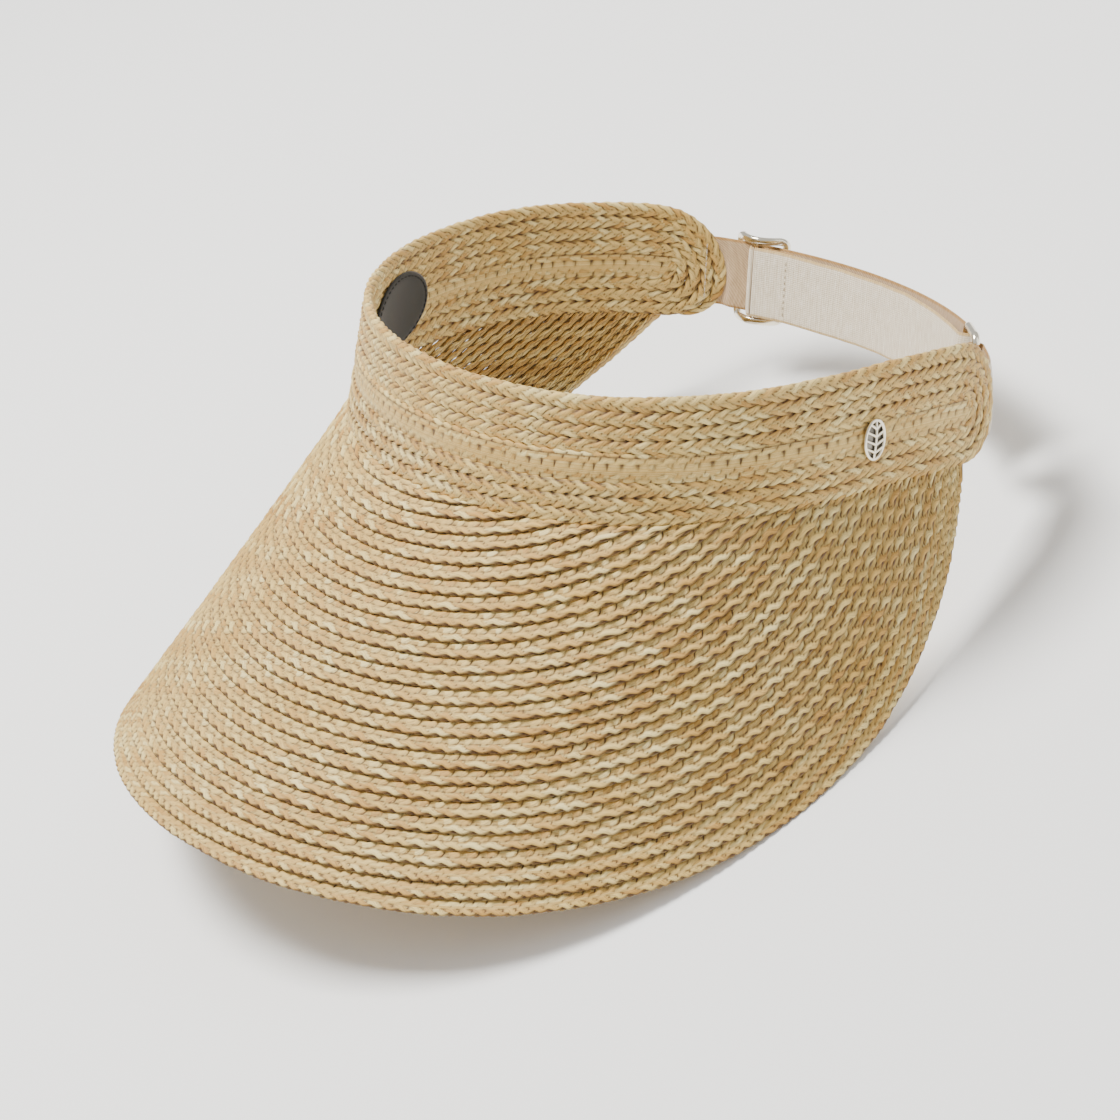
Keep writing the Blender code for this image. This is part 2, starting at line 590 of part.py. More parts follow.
def end_ring():
    """Rectangular ring of round wire with rounded corners, closed on itself."""
    half_long = (RING_LENGTH - RING_WIRE) / 2
    half_high = WEBBING_WIDTH / 2 + EDGE_CLEARANCE + RING_WIRE / 2
    curve = bpy.data.curves.new("end_ring", "CURVE")
    curve.dimensions = "3D"
    points = []
    for sx, sz, first in ((1, 1, 0), (-1, 1, 90), (-1, -1, 180), (1, -1, 270)):
        for step in range(5):
            angle = math.radians(first + 22.5 * step)
            points.append((sx * (half_long - RING_CORNER) + RING_CORNER * math.cos(angle), 0.0,
                           sz * (half_high - RING_CORNER) + RING_CORNER * math.sin(angle)))
    spline = curve.splines.new("POLY")
    spline.points.add(len(points) - 1)
    for point, spot in zip(spline.points, points):
        point.co = (*spot, 1.0)
    spline.use_cyclic_u = True
    curve.bevel_depth = RING_WIRE / 2
    curve.bevel_resolution = 2
    wire = bpy.data.objects.new("wire", curve)
    cutters.objects.link(wire)
    bpy.context.view_layer.update()
    mesh = bpy.data.meshes.new_from_object(wire.evaluated_get(bpy.context.evaluated_depsgraph_get()))
    bpy.data.objects.remove(wire, do_unlink=True)
    hub = arc_point(bar_angle(RING_ANGLE, RING_LENGTH, RING_WIRE, 1), STRAP_ARC_RADIUS)
    pivot = (*hub, STRAP_HEIGHT)
    obj = add_object("end_ring", mesh, metal)
    place_on_arc(obj, RING_ANGLE, pivot)
    mesh.shade_smooth()
    return pivot


# Label and emblem

def inner_label():
    """A plain oval patch sewn on the inner face of the band."""
    share = np.sin(np.linspace(-0.48, 0.48, 15) * math.pi)
    distance = MEAN_RADIUS * LABEL_ANGLE + share * LABEL_WIDTH / 2
    half_height = LABEL_HEIGHT / 2 * np.sqrt(1 - share**2)
    near = -(BAND_THICKNESS / 2 + GAP)
    far = near - LABEL_THICKNESS
    rails = [band_point(distance / MEAN_RADIUS, LABEL_HEIGHT_UP + side * half_height, depth)
             for side, depth in ((-1, near), (1, near), (1, far), (-1, far))]
    loft("inner_label", np.stack(rails, 1), label_cloth)


def ellipse_spline(curve, centre, half_x, half_y, tilt, count):
    spline = curve.splines.new("POLY")
    spline.points.add(count - 1)
    for i, point in enumerate(spline.points):
        angle = 2 * math.pi * i / count
        x, y = half_x * math.cos(angle), half_y * math.sin(angle)
        point.co = (centre[0] + x * math.cos(tilt) - y * math.sin(tilt),
                    centre[1] + x * math.sin(tilt) + y * math.cos(tilt), 0.0, 1.0)
    spline.use_cyclic_u = True


def emblem_stud():
    """A small oval metal stud, pierced with two columns of slanted slots."""
    curve = bpy.data.curves.new("emblem_stud", "CURVE")
    curve.dimensions = "2D"
    curve.fill_mode = "BOTH"
    curve.extrude = EMBLEM_THICKNESS / 2
    ellipse_spline(curve, (0, 0), EMBLEM_WIDTH / 2, EMBLEM_HEIGHT / 2, 0.0, 28)
    for side in (-1, 1):
        for level in (-1, 0, 1):
            centre = (side * SLOT_SPACING_ACROSS / 2, level * SLOT_SPACING_UP)
            ellipse_spline(curve, centre, SLOT_LENGTH / 2, SLOT_WIDTH / 2, side * SLOT_TILT, 10)
    flat = bpy.data.objects.new("flat", curve)
    cutters.objects.link(flat)
    bpy.context.view_layer.update()
    mesh = bpy.data.meshes.new_from_object(flat.evaluated_get(bpy.context.evaluated_depsgraph_get()))
    bpy.data.objects.remove(flat, do_unlink=True)
    shape = bmesh.new()
    shape.from_mesh(mesh)
    bmesh.ops.remove_doubles(shape, verts=shape.verts, dist=0.01 * MM)
    bmesh.ops.recalc_face_normals(shape, faces=shape.faces)
    shape.to_mesh(mesh)
    shape.free()
    phi = np.array(EMBLEM_ANGLE)
    up = np.array(EMBLEM_HEIGHT_UP)
    spot = band_point(phi, up, BAND_THICKNESS / 2 + GAP + EMBLEM_THICKNESS / 2)
    outward = Vector(band_point(phi, up, 1.0) - band_point(phi, up, 0.0))
    upward = Vector((0, 0, 1))
    sideways = upward.cross(outward)
    turn = Matrix((sideways, upward, outward)).transposed().to_4x4()
    obj = add_object("emblem_stud", mesh, metal, spot.tolist())
    obj.rotation_euler = turn.to_euler()


def add_axis(name, location):
    """An empty on a joint's axis."""
    axis = bpy.data.objects.new(name, None)
    axis.empty_display_size = 10 * MM
    axis.location = location
    axis.parent = stand
    visor.objects.link(axis)


def stand_up():
    """Tips the visor onto its brim and centres its outline over the origin."""
    stand.rotation_euler = (REST_PITCH, 0, 0)
    bpy.context.view_layer.update()
    corners = []
    for obj in visor.objects:
        if obj.type == "MESH":
            place = np.array(obj.matrix_world)
            points = np.array([vert.co for vert in obj.data.vertices])
            corners.append(points @ place[:3, :3].T + place[:3, 3])
    points = np.concatenate(corners)
    low, high = points.min(0), points.max(0)
    stand.location = (-(low[0] + high[0]) / 2, -(low[1] + high[1]) / 2, -low[2])
    bpy.context.view_layer.update()


clear_scene()
visor = bpy.data.collections.new("sun_visor")
cutters = bpy.data.collections.new("cutters")
bpy.context.scene.collection.children.link(visor)
bpy.context.scene.collection.children.link(cutters)
stand = bpy.data.objects.new("stand", None)
visor.objects.link(stand)

raffia = material("raffia_braid", (0.62, 0.45, 0.24), 0.75)
webbing_tan = material("webbing_tan", (0.50, 0.36, 0.22), 0.85)
webbing_cream = material("webbing_cream", (0.72, 0.62, 0.48), 0.85)
thread = material("sewing_thread", (0.60, 0.48, 0.34), 0.8)
metal = material("plated_metal", (0.80, 0.76, 0.70), 0.2, 1.0)
label_cloth = material("label_cloth", (0.035, 0.032, 0.028), 0.8)

crown_centre_braid()
for ring in range(1, BAND_ROWS_BELOW + 1):
    crown_ring(ring)
crown_top_row()
for row in range(1, BRIM_ROWS + 1):
    brim_row(row)
inner_label()
emblem_stud()
slide_centre = (0.0, ARC_CENTRE_Y, STRAP_HEIGHT)
strap_webbing_outer()
strap_webbing_inner()
strap_loop_end(slide_centre)
loop_seam(slide_centre)
slider_buckle(slide_centre)
ring_tab()
ring_pivot = end_ring()
anchor_seam("far_anchor_seam", -1, 0)
anchor_seam("near_tab_seam", 1, 1)
add_axis("slider_axis", slide_centre)
add_axis("ring_axis", ring_pivot)
stand_up()
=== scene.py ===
"""The finished look of a sun visor of sewn raffia braid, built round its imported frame.

Shapes are worked out in the visor's own frame, in millimetres: +Z up the band, -Y to the front, +X to
the wearer's left, origin in the middle of the head opening, level with the band's lower edge at the
front. place() carries them to the row frame, where the visor leans back on the sides of its brim.
"""
import json
import math

import bpy
import numpy as np
from mathutils import Matrix, Vector


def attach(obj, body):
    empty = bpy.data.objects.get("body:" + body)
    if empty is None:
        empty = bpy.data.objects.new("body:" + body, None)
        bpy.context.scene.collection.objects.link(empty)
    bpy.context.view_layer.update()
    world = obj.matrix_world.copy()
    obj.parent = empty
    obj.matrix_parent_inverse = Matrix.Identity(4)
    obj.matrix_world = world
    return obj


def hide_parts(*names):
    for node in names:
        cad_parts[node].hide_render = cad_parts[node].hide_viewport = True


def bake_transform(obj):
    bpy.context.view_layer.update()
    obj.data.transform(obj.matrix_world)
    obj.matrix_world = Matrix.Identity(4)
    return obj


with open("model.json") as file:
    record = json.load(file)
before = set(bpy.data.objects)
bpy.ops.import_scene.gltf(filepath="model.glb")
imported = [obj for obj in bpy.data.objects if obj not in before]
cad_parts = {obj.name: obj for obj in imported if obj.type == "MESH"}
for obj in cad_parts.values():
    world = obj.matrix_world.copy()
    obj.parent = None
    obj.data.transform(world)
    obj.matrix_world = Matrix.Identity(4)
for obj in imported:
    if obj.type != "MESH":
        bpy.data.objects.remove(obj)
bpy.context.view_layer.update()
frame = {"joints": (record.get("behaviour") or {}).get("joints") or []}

MM = 0.001

# Sizes that the frame's solids have, in millimetres
OPENING_HALF_DEPTH, OPENING_HALF_WIDTH, OPENING_EGG = 94.4, 91.2, 0.12
BAND_HEIGHT, BAND_THICKNESS = 35.0, 3.2
BAND_LEAN_FRONT, BAND_LEAN_SIDE = -5.4, 0.3
BAND_SIDE_RISE, BAND_REAR_DIP = 6.1, -1.9
BAND_END_ANGLE = math.radians(127.3)
END_FLARE, FLARE_START = 3.5, math.radians(95)
BAND_ROWS_BELOW, CENTRE_BRAID_ROWS = 3, 2
BRIM_WIDTH_FRONT, BRIM_ROWS = 117.4, 27
BRIM_FLAT_RATIO, BRIM_TIP_STRETCH, BRIM_TIP_ANGLE = 0.574, 0.54, math.radians(118)
BRIM_CENTRE_SETBACK = 84.8
BRIM_DROOP_FRONT, BRIM_DROOP_TIP, BRIM_DROOP_CHEEK = np.radians([52.6, 12.0, 4.5])
ROW_STRIP_THICKNESS, ROW_STRIP_OVERLAP, INNERMOST_MARGIN, LEAST_ROW_WIDTH = 1.2, 2.6, 0.6, 0.6
GAP = 0.3
WEBBING_WIDTH, WEBBING_THICKNESS = 22.0, 1.1
STRAP_HEIGHT, STRAP_ARC_RADIUS, STRAP_ARC_BACK = 25.0, 120.0, 75.5
LOOP_END_LENGTH, LOOP_LAP_SHORT, LOOP_SETTLE, SEAM_FROM_END = 15.0, 1.0, 6.0, 2.5
SEAM_MARGIN, SEAM_ANGLE = 2.0, math.radians(123.4)
SLIDER_LENGTH, SLIDER_BAR, SLIDER_SIDE_BAR, SLIDER_RAIL_HEIGHT = 18.0, 1.6, 2.0, 2.0
SLIDER_ANGLE, RING_ANGLE = np.radians([-28.9, 24.9])
RING_LENGTH, RING_WIRE, RING_CORNER, RING_PLAY = 16.0, 2.4, 2.2, 0.7
EDGE_CLEARANCE = 0.8
LABEL_WIDTH, LABEL_HEIGHT, LABEL_THICKNESS = 38.0, 24.0, 0.8
LABEL_ANGLE, LABEL_HEIGHT_UP = math.radians(-52), 16.5
EMBLEM_WIDTH, EMBLEM_HEIGHT = 7.0, 12.0
EMBLEM_ANGLE, EMBLEM_HEIGHT_UP = math.radians(92), 15.0

# Sizes worked out from those
ROW_PITCH_BAND = BAND_HEIGHT / (2 * BAND_ROWS_BELOW + 1 + CENTRE_BRAID_ROWS)
CENTRE_HALF = CENTRE_BRAID_ROWS * ROW_PITCH_BAND / 2
BAND_CENTRE_UP = BAND_ROWS_BELOW * ROW_PITCH_BAND + CENTRE_HALF
MEAN_RADIUS = (OPENING_HALF_DEPTH + OPENING_HALF_WIDTH) / 2
END_RADIUS = CENTRE_HALF + (BAND_ROWS_BELOW + 1) * ROW_PITCH_BAND
BAND_STRAIGHT = MEAN_RADIUS * BAND_END_ANGLE - END_RADIUS
FLAT_RADIUS = MEAN_RADIUS / BRIM_FLAT_RATIO
ROW_PITCH_BRIM = BRIM_WIDTH_FRONT / BRIM_ROWS
EDGE_RADIUS = FLAT_RADIUS + BRIM_WIDTH_FRONT - BRIM_CENTRE_SETBACK
ROW_TILT = math.asin((ROW_STRIP_THICKNESS + GAP) / ROW_PITCH_BRIM)
ARC_CENTRE_Y = STRAP_ARC_BACK - STRAP_ARC_RADIUS
LAYER_SPREAD = max(RING_WIRE + 2 * RING_PLAY + WEBBING_THICKNESS,
                   SLIDER_BAR + 3 * GAP + 2 * WEBBING_THICKNESS)
OUTER_LAYER = STRAP_ARC_RADIUS + LAYER_SPREAD / 2
INNER_LAYER = STRAP_ARC_RADIUS - LAYER_SPREAD / 2
WEBBING_LOW, WEBBING_HIGH = STRAP_HEIGHT - WEBBING_WIDTH / 2, STRAP_HEIGHT + WEBBING_WIDTH / 2
BAR_RADIUS = INNER_LAYER + WEBBING_THICKNESS / 2 + GAP + SLIDER_BAR / 2

# Where the finished skins leave the plain solids, in millimetres
BRIM_CLEARANCE = -0.7       # the brim rows run in under the band's rolled edge
ROW_BITE = 0.4              # how far neighbouring band rows press into each other
PLUMP = 1.35                # a brim row's plait is fatter than its strip, so no light gets between rows
NARROW_HALF = 1.6           # a brim row thins out where half its width is less than this
EDGE_ROWS = 3               # the last brim rows are a finer plait
BAND_PLAIT_SHARE = 0.9      # a band plait's thickness, as a share of the band's
CENTRE_PLAIT_SHARE = 0.85
TUCK = 2.6                  # how far the webbing goes in between the band's faces
TAB_SPREAD = 0.4            # how far each of the ring tab's two layers lies from the middle there
TAIL_ANGLE = math.radians(-72)      # where the band's last row ends, round its end from level

# Plaits: strand spacing along the braid, lobe width across it, and relief, in millimetres
STATION = 0.6               # grid spacing along every braid
SECTION = 24                # points round a braid
RELIEF_LEVEL = 0.7          # the plait height that lies on the braid's oval
# painted shade at the grooves where rows meet: how much it darkens the colour, and its width in millimetres
GROOVE_PAINTED_SHADE, GROOVE_SHADE_WIDTH = 0.8, 0.38
BRIM_PLAIT = dict(pitch=5.0, lobe=3.2, shift=0.22, slant=1.25, relief=0.95)
EDGE_PLAIT = dict(pitch=3.6, lobe=2.6, shift=0.26, slant=1.0, relief=0.75)
BAND_PLAIT = dict(pitch=3.9, lobe=2.7, shift=0.12, slant=1.0, relief=0.62)
CENTRE_PLAIT = dict(pitch=3.9, lobe=1.95, shift=0.0, slant=0.7, relief=0.5)

# Webbing: grid spacing along it, points across it, and heights at which its route is worked out
CLOTH_STEP, CLOTH_ACROSS, CLOTH_LEVELS = 0.7, 22, 9
SELVEDGE_IN, SELVEDGE_DIP = 2.2, 0.10       # a faint groove beside each selvedge


# ---------------------------------------------------------------- frame

def row_frame():
    """Rotation and shift from the visor's frame to the row frame, read from the slider's joint."""
    joint = next(j for j in frame["joints"] if j["name"] == "slider_slide")
    up = -np.array(joint["axis"], float)
    side = np.array([1.0, 0.0, 0.0])
    turn = np.stack([side, np.cross(up, side), up], 1)
    return turn, np.array(joint["pos_m"], float) - turn @ (np.array([0, ARC_CENTRE_Y, STRAP_HEIGHT]) * MM)


TURN, SHIFT = row_frame()


def place(points):
    """Visor-frame millimetres to row-frame metres."""
    return np.asarray(points, float) * MM @ TURN.T + SHIFT


# ---------------------------------------------------------------- mesh helpers

def grid_faces(stations, around, closed):
    """Quads of a tube's grid, as vertex indices and matching indices into a grid one column wider."""
    i = np.arange(stations if closed else stations - 1)[:, None]
    j = np.arange(around)[None, :]
    after, beside = (i + 1) % stations, (j + 1) % around
    verts = np.stack([i * around + j, i * around + beside, after * around + beside, after * around + j], -1)
    wide = around + 1
    corners = np.stack([i * wide + j, i * wide + j + 1, (i + 1) * wide + j + 1, (i + 1) * wide + j], -1)
    return verts.reshape(-1, 4), corners.reshape(-1, 4)


def tube(name, grid, mat, body, closed=False, uv=None, values=None):
    """A closed skin over grid, stations by points around by 3, in visor millimetres.

    Open tubes are closed by a flat face at each end. uv has one more row and column than a closed
    grid, so that a pattern meets itself; values are named numbers for each point.
    """
    stations, around, _ = grid.shape
    points = place(grid.reshape(-1, 3))
    faces, corners = grid_faces(stations, around, closed)
    ends = [] if closed else [np.arange(around)[::-1], (stations - 1) * around + np.arange(around)]
    order = np.concatenate([faces.ravel()] + ends).astype(np.int32)
    sizes = np.array([4] * len(faces) + [around] * len(ends), np.int32)
    mesh = bpy.data.meshes.new(name)
    mesh.vertices.add(len(points))
    mesh.vertices.foreach_set("co", points.astype(np.float32).ravel())
    mesh.loops.add(len(order))
    mesh.loops.foreach_set("vertex_index", order)
    mesh.polygons.add(len(sizes))
    mesh.polygons.foreach_set("loop_start", (np.cumsum(sizes) - sizes).astype(np.int32))
    mesh.update(calc_edges=True)
    if uv is not None:
        layer = mesh.uv_layers.new(name="plait")
        flat = np.zeros((len(order), 2), np.float32)
        flat[:faces.size] = uv.reshape(-1, 2)[corners.ravel()]
        layer.data.foreach_set("uv", flat.ravel())
    for key, numbers in (values or {}).items():
        layer = mesh.attributes.new(key, "FLOAT", "POINT")
        layer.data.foreach_set("value", np.ascontiguousarray(numbers, np.float32).ravel())
    if not faces_outward(points, faces):
        mesh.flip_normals()
    mesh.shade_smooth()
    mesh.validate()
    return add_piece(name, mesh, mat, body)


def faces_outward(points, faces):
    """True if quads turn outwards, by the signed volume between them and the middle of the points."""
    a, b, c, d = (points[faces[:, k]] - points.mean(0) for k in range(4))
    return np.einsum("ij,ij->", a, np.cross(b, c) + np.cross(c, d)) >= 0


def add_piece(name, mesh, mat, body):
    obj = bpy.data.objects.new(name, mesh)
    bpy.context.scene.collection.objects.link(obj)
    mesh.materials.append(mat)
    if body:
        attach(obj, body)
    return obj


def unit(v):
    return v / np.linalg.norm(v, axis=-1, keepdims=True)


def resample(path, step, closed=False):
    """A path's points again every step millimetres, their distances along it, and its length."""
    points = np.concatenate([path, path[:1]]) if closed else path
    length = np.concatenate([[0], np.cumsum(np.linalg.norm(np.diff(points, axis=0), axis=1))])
    count = max(int(round(length[-1] / step)), 2)
    at = np.linspace(0, length[-1], count + 1)
    if closed:
        at = at[:-1]
    spots = np.stack([np.interp(at, length, axis) for axis in points.T], -1)
    return spots, at, length[-1]


def along_way(path, closed=False):
    """Unit directions along a path, from each point's two neighbours."""
    if closed:
        return unit(np.roll(path, -1, 0) - np.roll(path, 1, 0))
    return unit(np.gradient(path, axis=0))


# ---------------------------------------------------------------- the visor's surfaces

def band_point(phi, up, off):
    """A point on the band: an egg-shaped ellipse that leans with height and rises at the sides."""
    share = up / BAND_HEIGHT
    spring = np.clip((np.abs(phi) - FLARE_START) / (BAND_END_ANGLE - FLARE_START), 0, 1)
    off = off + END_FLARE * spring**2 * (3 - 2 * spring)
    depth = OPENING_HALF_DEPTH + BAND_LEAN_FRONT * share
    width = OPENING_HALF_WIDTH + BAND_LEAN_SIDE * share
    normal = unit(np.stack([np.sin(phi) / width, -np.cos(phi) / depth], -1))
    x = width * np.sin(phi) * (1 + OPENING_EGG * np.cos(phi)) + off * normal[..., 0]
    y = -depth * np.cos(phi) + off * normal[..., 1]
    rise = BAND_SIDE_RISE * (1 - np.cos(2 * phi)) + BAND_REAR_DIP * (1 - np.cos(3 * phi))
    return np.stack([x, y, up + rise], -1)


def band_rise(phi):
    return band_point(phi, np.zeros_like(phi), 0.0)[..., 2]


def flat_angle(phi):
    """Angle in the brim's flat pattern; it turns faster towards the tips."""
    return BRIM_FLAT_RATIO * phi * (1 + BRIM_TIP_STRETCH * (np.abs(phi) / BRIM_TIP_ANGLE) ** 4)


def head_angle(theta):
    """The inverse of flat_angle."""
    phi = np.linspace(-math.pi, math.pi, 4001)
    return np.interp(theta, flat_angle(phi), phi)


def brim_point(phi, along, above):
    """A point straight down the brim's slope from the band's lower edge, and off its surface."""
    droop = (BRIM_DROOP_FRONT + BRIM_DROOP_TIP * np.sin(0.75 * phi) ** 2
             + BRIM_DROOP_CHEEK * np.sin(1.5 * phi) ** 2)[..., None]
    start = band_point(phi, np.zeros_like(phi), 0.0)
    outward = band_point(phi, np.zeros_like(phi), 1.0) - start
    upward = np.array([0.0, 0.0, 1.0])
    slope = np.cos(droop) * outward - np.sin(droop) * upward
    normal = np.sin(droop) * outward + np.cos(droop) * upward
    return start + along[..., None] * slope + above[..., None] * normal


def pattern_point(radius, turn, above):
    """A point of the brim at a distance and an angle from the rows' centre in the flat pattern."""
    forward = BRIM_CENTRE_SETBACK + radius * np.cos(turn)
    sideways = radius * np.sin(turn)
    phi = head_angle(np.arctan2(sideways, forward))
    return brim_point(phi, np.hypot(forward, sideways) - FLAT_RADIUS, above)


def end_turn(radius):
    """How far from the front an arc of this radius runs round the rows' centre before it meets the band."""
    reach = FLAT_RADIUS + BRIM_CLEARANCE
    cosine = (reach**2 - BRIM_CENTRE_SETBACK**2 - radius**2) / (2 * BRIM_CENTRE_SETBACK * radius)
    return math.acos(min(cosine, 1.0))


def band_radius(turn):
    """Distance from the rows' centre to the band, at an angle round that centre."""
    reach = FLAT_RADIUS + BRIM_CLEARANCE
    across = BRIM_CENTRE_SETBACK * np.sin(turn)
    return np.sqrt(reach**2 - across**2) - BRIM_CENTRE_SETBACK * np.cos(turn)


# ---------------------------------------------------------------- plaits

def chance(n, seed=0.0):
    """A fixed number from 0 to 1 for each whole number: the fraction of a large sine."""
    return np.mod(np.sin(n * 12.9898 + seed * 78.233) * 43758.5453, 1.0)


def wander(u, rng, period):
    """A smooth, wandering number between about -1 and 1: four sines with random phases."""
    total = np.zeros_like(u)
    for share in (1.0, 0.62, 0.37, 0.21):
        total += np.sin(2 * math.pi * u / (period * share) + rng.uniform(0, 2 * math.pi)) * share
    return total / 2.0


def plait(u, d, rng, pitch, lobe, shift, slant, seed):
    """Height, from 0 to 1, and strand number of a plait at u along it and d in from its edge.

    Each lobe is a column of strands that lean one way; the next lobe leans the other way, half a strand
    further on, so the columns meet in a zigzag line. A strand is a rounded ridge between sharp valleys,
    and each sinks where it goes under the next column.
    """
    jitter = 0.22 * wander(u, rng, 9.3 * pitch) + 0.10 * wander(u, rng, 3.1 * pitch)
    zigzag = 0.10 * np.sin(2 * math.pi * (u / pitch + jitter))
    x = d / lobe + shift + zigzag
    column = np.floor(x)
    within = x - column
    chevron = np.abs(np.mod(x + 1, 2) - 1)
    strand = u / pitch + jitter + slant * chevron + 0.5 * np.mod(column, 2)
    number = np.floor(strand)
    across = strand - number
    ridge = 1 - np.abs(2 * across - 1) ** 2.2
    sunk = np.sin(math.pi * np.clip(within, 0, 1)) ** 0.55
    lift = 0.72 + 0.28 * chance(number + 57.0 * column, seed)
    return ridge * sunk * lift, strand + 31.0 * column


def braid(name, centre, across, out, half_width, half_thick, mat, seed, style, closed=False,
          shaded_grooves=(0.0,), roundness=0.62, fade=None):
    """A plaited strip along centre, with its face towards out and its outer edge towards across.

    The section is a rounded oval, half_width by half_thick. The plait's height pushes its skin out,
    on the face and, half a strand further on, on the back. The groove distances, from the outer edge,
    are where it lies against a neighbour; there and in the plait's valleys the colour gets painted
    shade, through the ridge attribute. fade thins the relief at the ends.
    """
    rng = np.random.default_rng(seed)
    steps = np.linalg.norm(np.diff(centre, axis=0), axis=1)
    u = np.concatenate([[0], np.cumsum(steps)])
    total = u[-1] + (np.linalg.norm(centre[0] - centre[-1]) if closed else 0)
    pitch = total / max(round(total / style["pitch"]), 1)
    angle = 2 * math.pi * (np.arange(SECTION + 1)) / SECTION
    side = np.sign(np.cos(angle)) * np.abs(np.cos(angle)) ** 0.85
    face = np.sign(np.sin(angle)) * np.abs(np.sin(angle)) ** roundness
    wide = (half_width * (1 + 0.035 * wander(u, rng, 60.0)))[:, None]
    d = wide * (1 - side)
    height, strand = plait(u[:, None] + np.where(face < -0.01, 0.5 * pitch, 0.0), d, rng, pitch,
                           style["lobe"], style["shift"], style["slant"], seed % 97)
    amount = style["relief"] * (1.0 if fade is None else fade[:, None])
    push = (height - RELIEF_LEVEL) * amount
    sway = 0.12 * wander(u, rng, 45.0)[:, None]
    away = unit(np.stack([np.cos(angle) * 0.8, np.sin(angle)], -1))
    grid = (centre[:, None] + across[:, None] * (wide * side + sway + push * away[:, 0])[..., None]
            + out[:, None] * (half_thick[:, None] * face + push * away[:, 1])[..., None])
    # painted shade: the plait's height, darkened again in a band at each groove, becomes the ridge attribute
    # that darkens the colour
    painted_lit = height * np.ones_like(d)
    for groove in shaded_grooves:
        painted_lit = painted_lit * (1 - GROOVE_PAINTED_SHADE * np.exp(-((d - groove) / GROOVE_SHADE_WIDTH) ** 2))
    if closed:
        strand = np.vstack([strand, strand[:1] + round(total / pitch)])
        d = np.vstack([d, d[:1]])
    uv = np.stack([strand, d], -1)
    return tube(name, grid[:, :-1], mat, "root", closed=closed, uv=uv,
                values={"ridge": painted_lit[:, :-1]})


def brim_row(index, mat):
    """One row of the brim: a plaited strip tilted like a shingle, its outer edge on the next row out."""
    outer = EDGE_RADIUS - (BRIM_ROWS - index) * ROW_PITCH_BRIM
    inner = max(outer - ROW_PITCH_BRIM - ROW_STRIP_OVERLAP, float(band_radius(0.0)) + INNERMOST_MARGIN)
    last = end_turn(outer - LEAST_ROW_WIDTH)
    middle = (inner + outer) / 2
    turn = np.linspace(-last, last, int(2 * last * middle / STATION))
    cut = np.maximum(inner, band_radius(turn))
    strip = ROW_PITCH_BRIM + ROW_STRIP_OVERLAP

    def rail(radius):
        return pattern_point(radius, turn, (strip / 2 - (outer - radius)) * math.tan(ROW_TILT))

    low, high = rail(cut), rail(np.full_like(turn, outer))
    across = unit(high - low)
    way = along_way((low + high) / 2)
    out = unit(np.cross(across, way))
    out *= np.sign(out[:, 2:3])
    half = np.linalg.norm(high - low, axis=1) / 2
    narrow = np.clip(half / NARROW_HALF, 0.25, 1.0)
    style = EDGE_PLAIT if index > BRIM_ROWS - EDGE_ROWS else BRIM_PLAIT
    # painted shade along the row's outer edge and where the next row in lies over it
    obj = braid(f"braid_row_{index:02d}", (low + high) / 2, across, out, half,
                ROW_STRIP_THICKNESS / 2 * PLUMP * narrow, mat, 100 + index, style, fade=narrow,
                shaded_grooves=(0.0, ROW_PITCH_BRIM + 0.25))
    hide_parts(f"brim_row_{index:02d}")


def racetrack(offset):
    """Plan of a row sewn round the centre braid: distance round the head and height up the band."""
    straight = np.arange(-BAND_STRAIGHT, BAND_STRAIGHT, STATION)
    turn = np.linspace(math.pi / 2, -math.pi / 2, max(int(math.pi * (CENTRE_HALF + offset) / STATION), 12))
    radius = CENTRE_HALF + offset
    end, up = BAND_STRAIGHT + radius * np.cos(turn), radius * np.sin(turn)
    distance = np.concatenate([straight, end, -straight, -end])
    height = np.concatenate([np.full(straight.size, radius), up, np.full(straight.size, -radius), -up])
    return distance, BAND_CENTRE_UP + height


def band_strip(distance, height, closed):
    """Middle line, width direction (away from the centre braid) and outward normal of a band row."""
    phi = distance / MEAN_RADIUS
    centre = band_point(phi, height, 0.0)
    out = unit(band_point(phi, height, 1.0) - centre)
    way = along_way(centre, closed)
    return centre, unit(np.cross(way, out)), out


def crown_ring(index, mat):
    """A band row that runs right round the centre braid and its rounded ends."""
    offset = (index - 0.5) * ROW_PITCH_BAND
    distance, height = racetrack(offset)
    path, _, _ = resample(np.stack([distance, height], -1), STATION, closed=True)
    centre, across, out = band_strip(path[:, 0], path[:, 1], True)
    half = np.full(len(centre), ROW_PITCH_BAND / 2 + ROW_BITE)
    rolled = 1.1 if index == BAND_ROWS_BELOW else 1.0
    thick = np.full(len(centre), BAND_THICKNESS / 2 * BAND_PLAIT_SHARE * rolled)
    # painted shade along both edges, where the row presses into its neighbours
    obj = braid(f"band_braid_{index}", centre, across, out, half, thick, mat, 10 + index, BAND_PLAIT,
                closed=True, shaded_grooves=(ROW_BITE, ROW_PITCH_BAND + ROW_BITE), roundness=0.85)
    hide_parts(f"crown_ring_{index}")


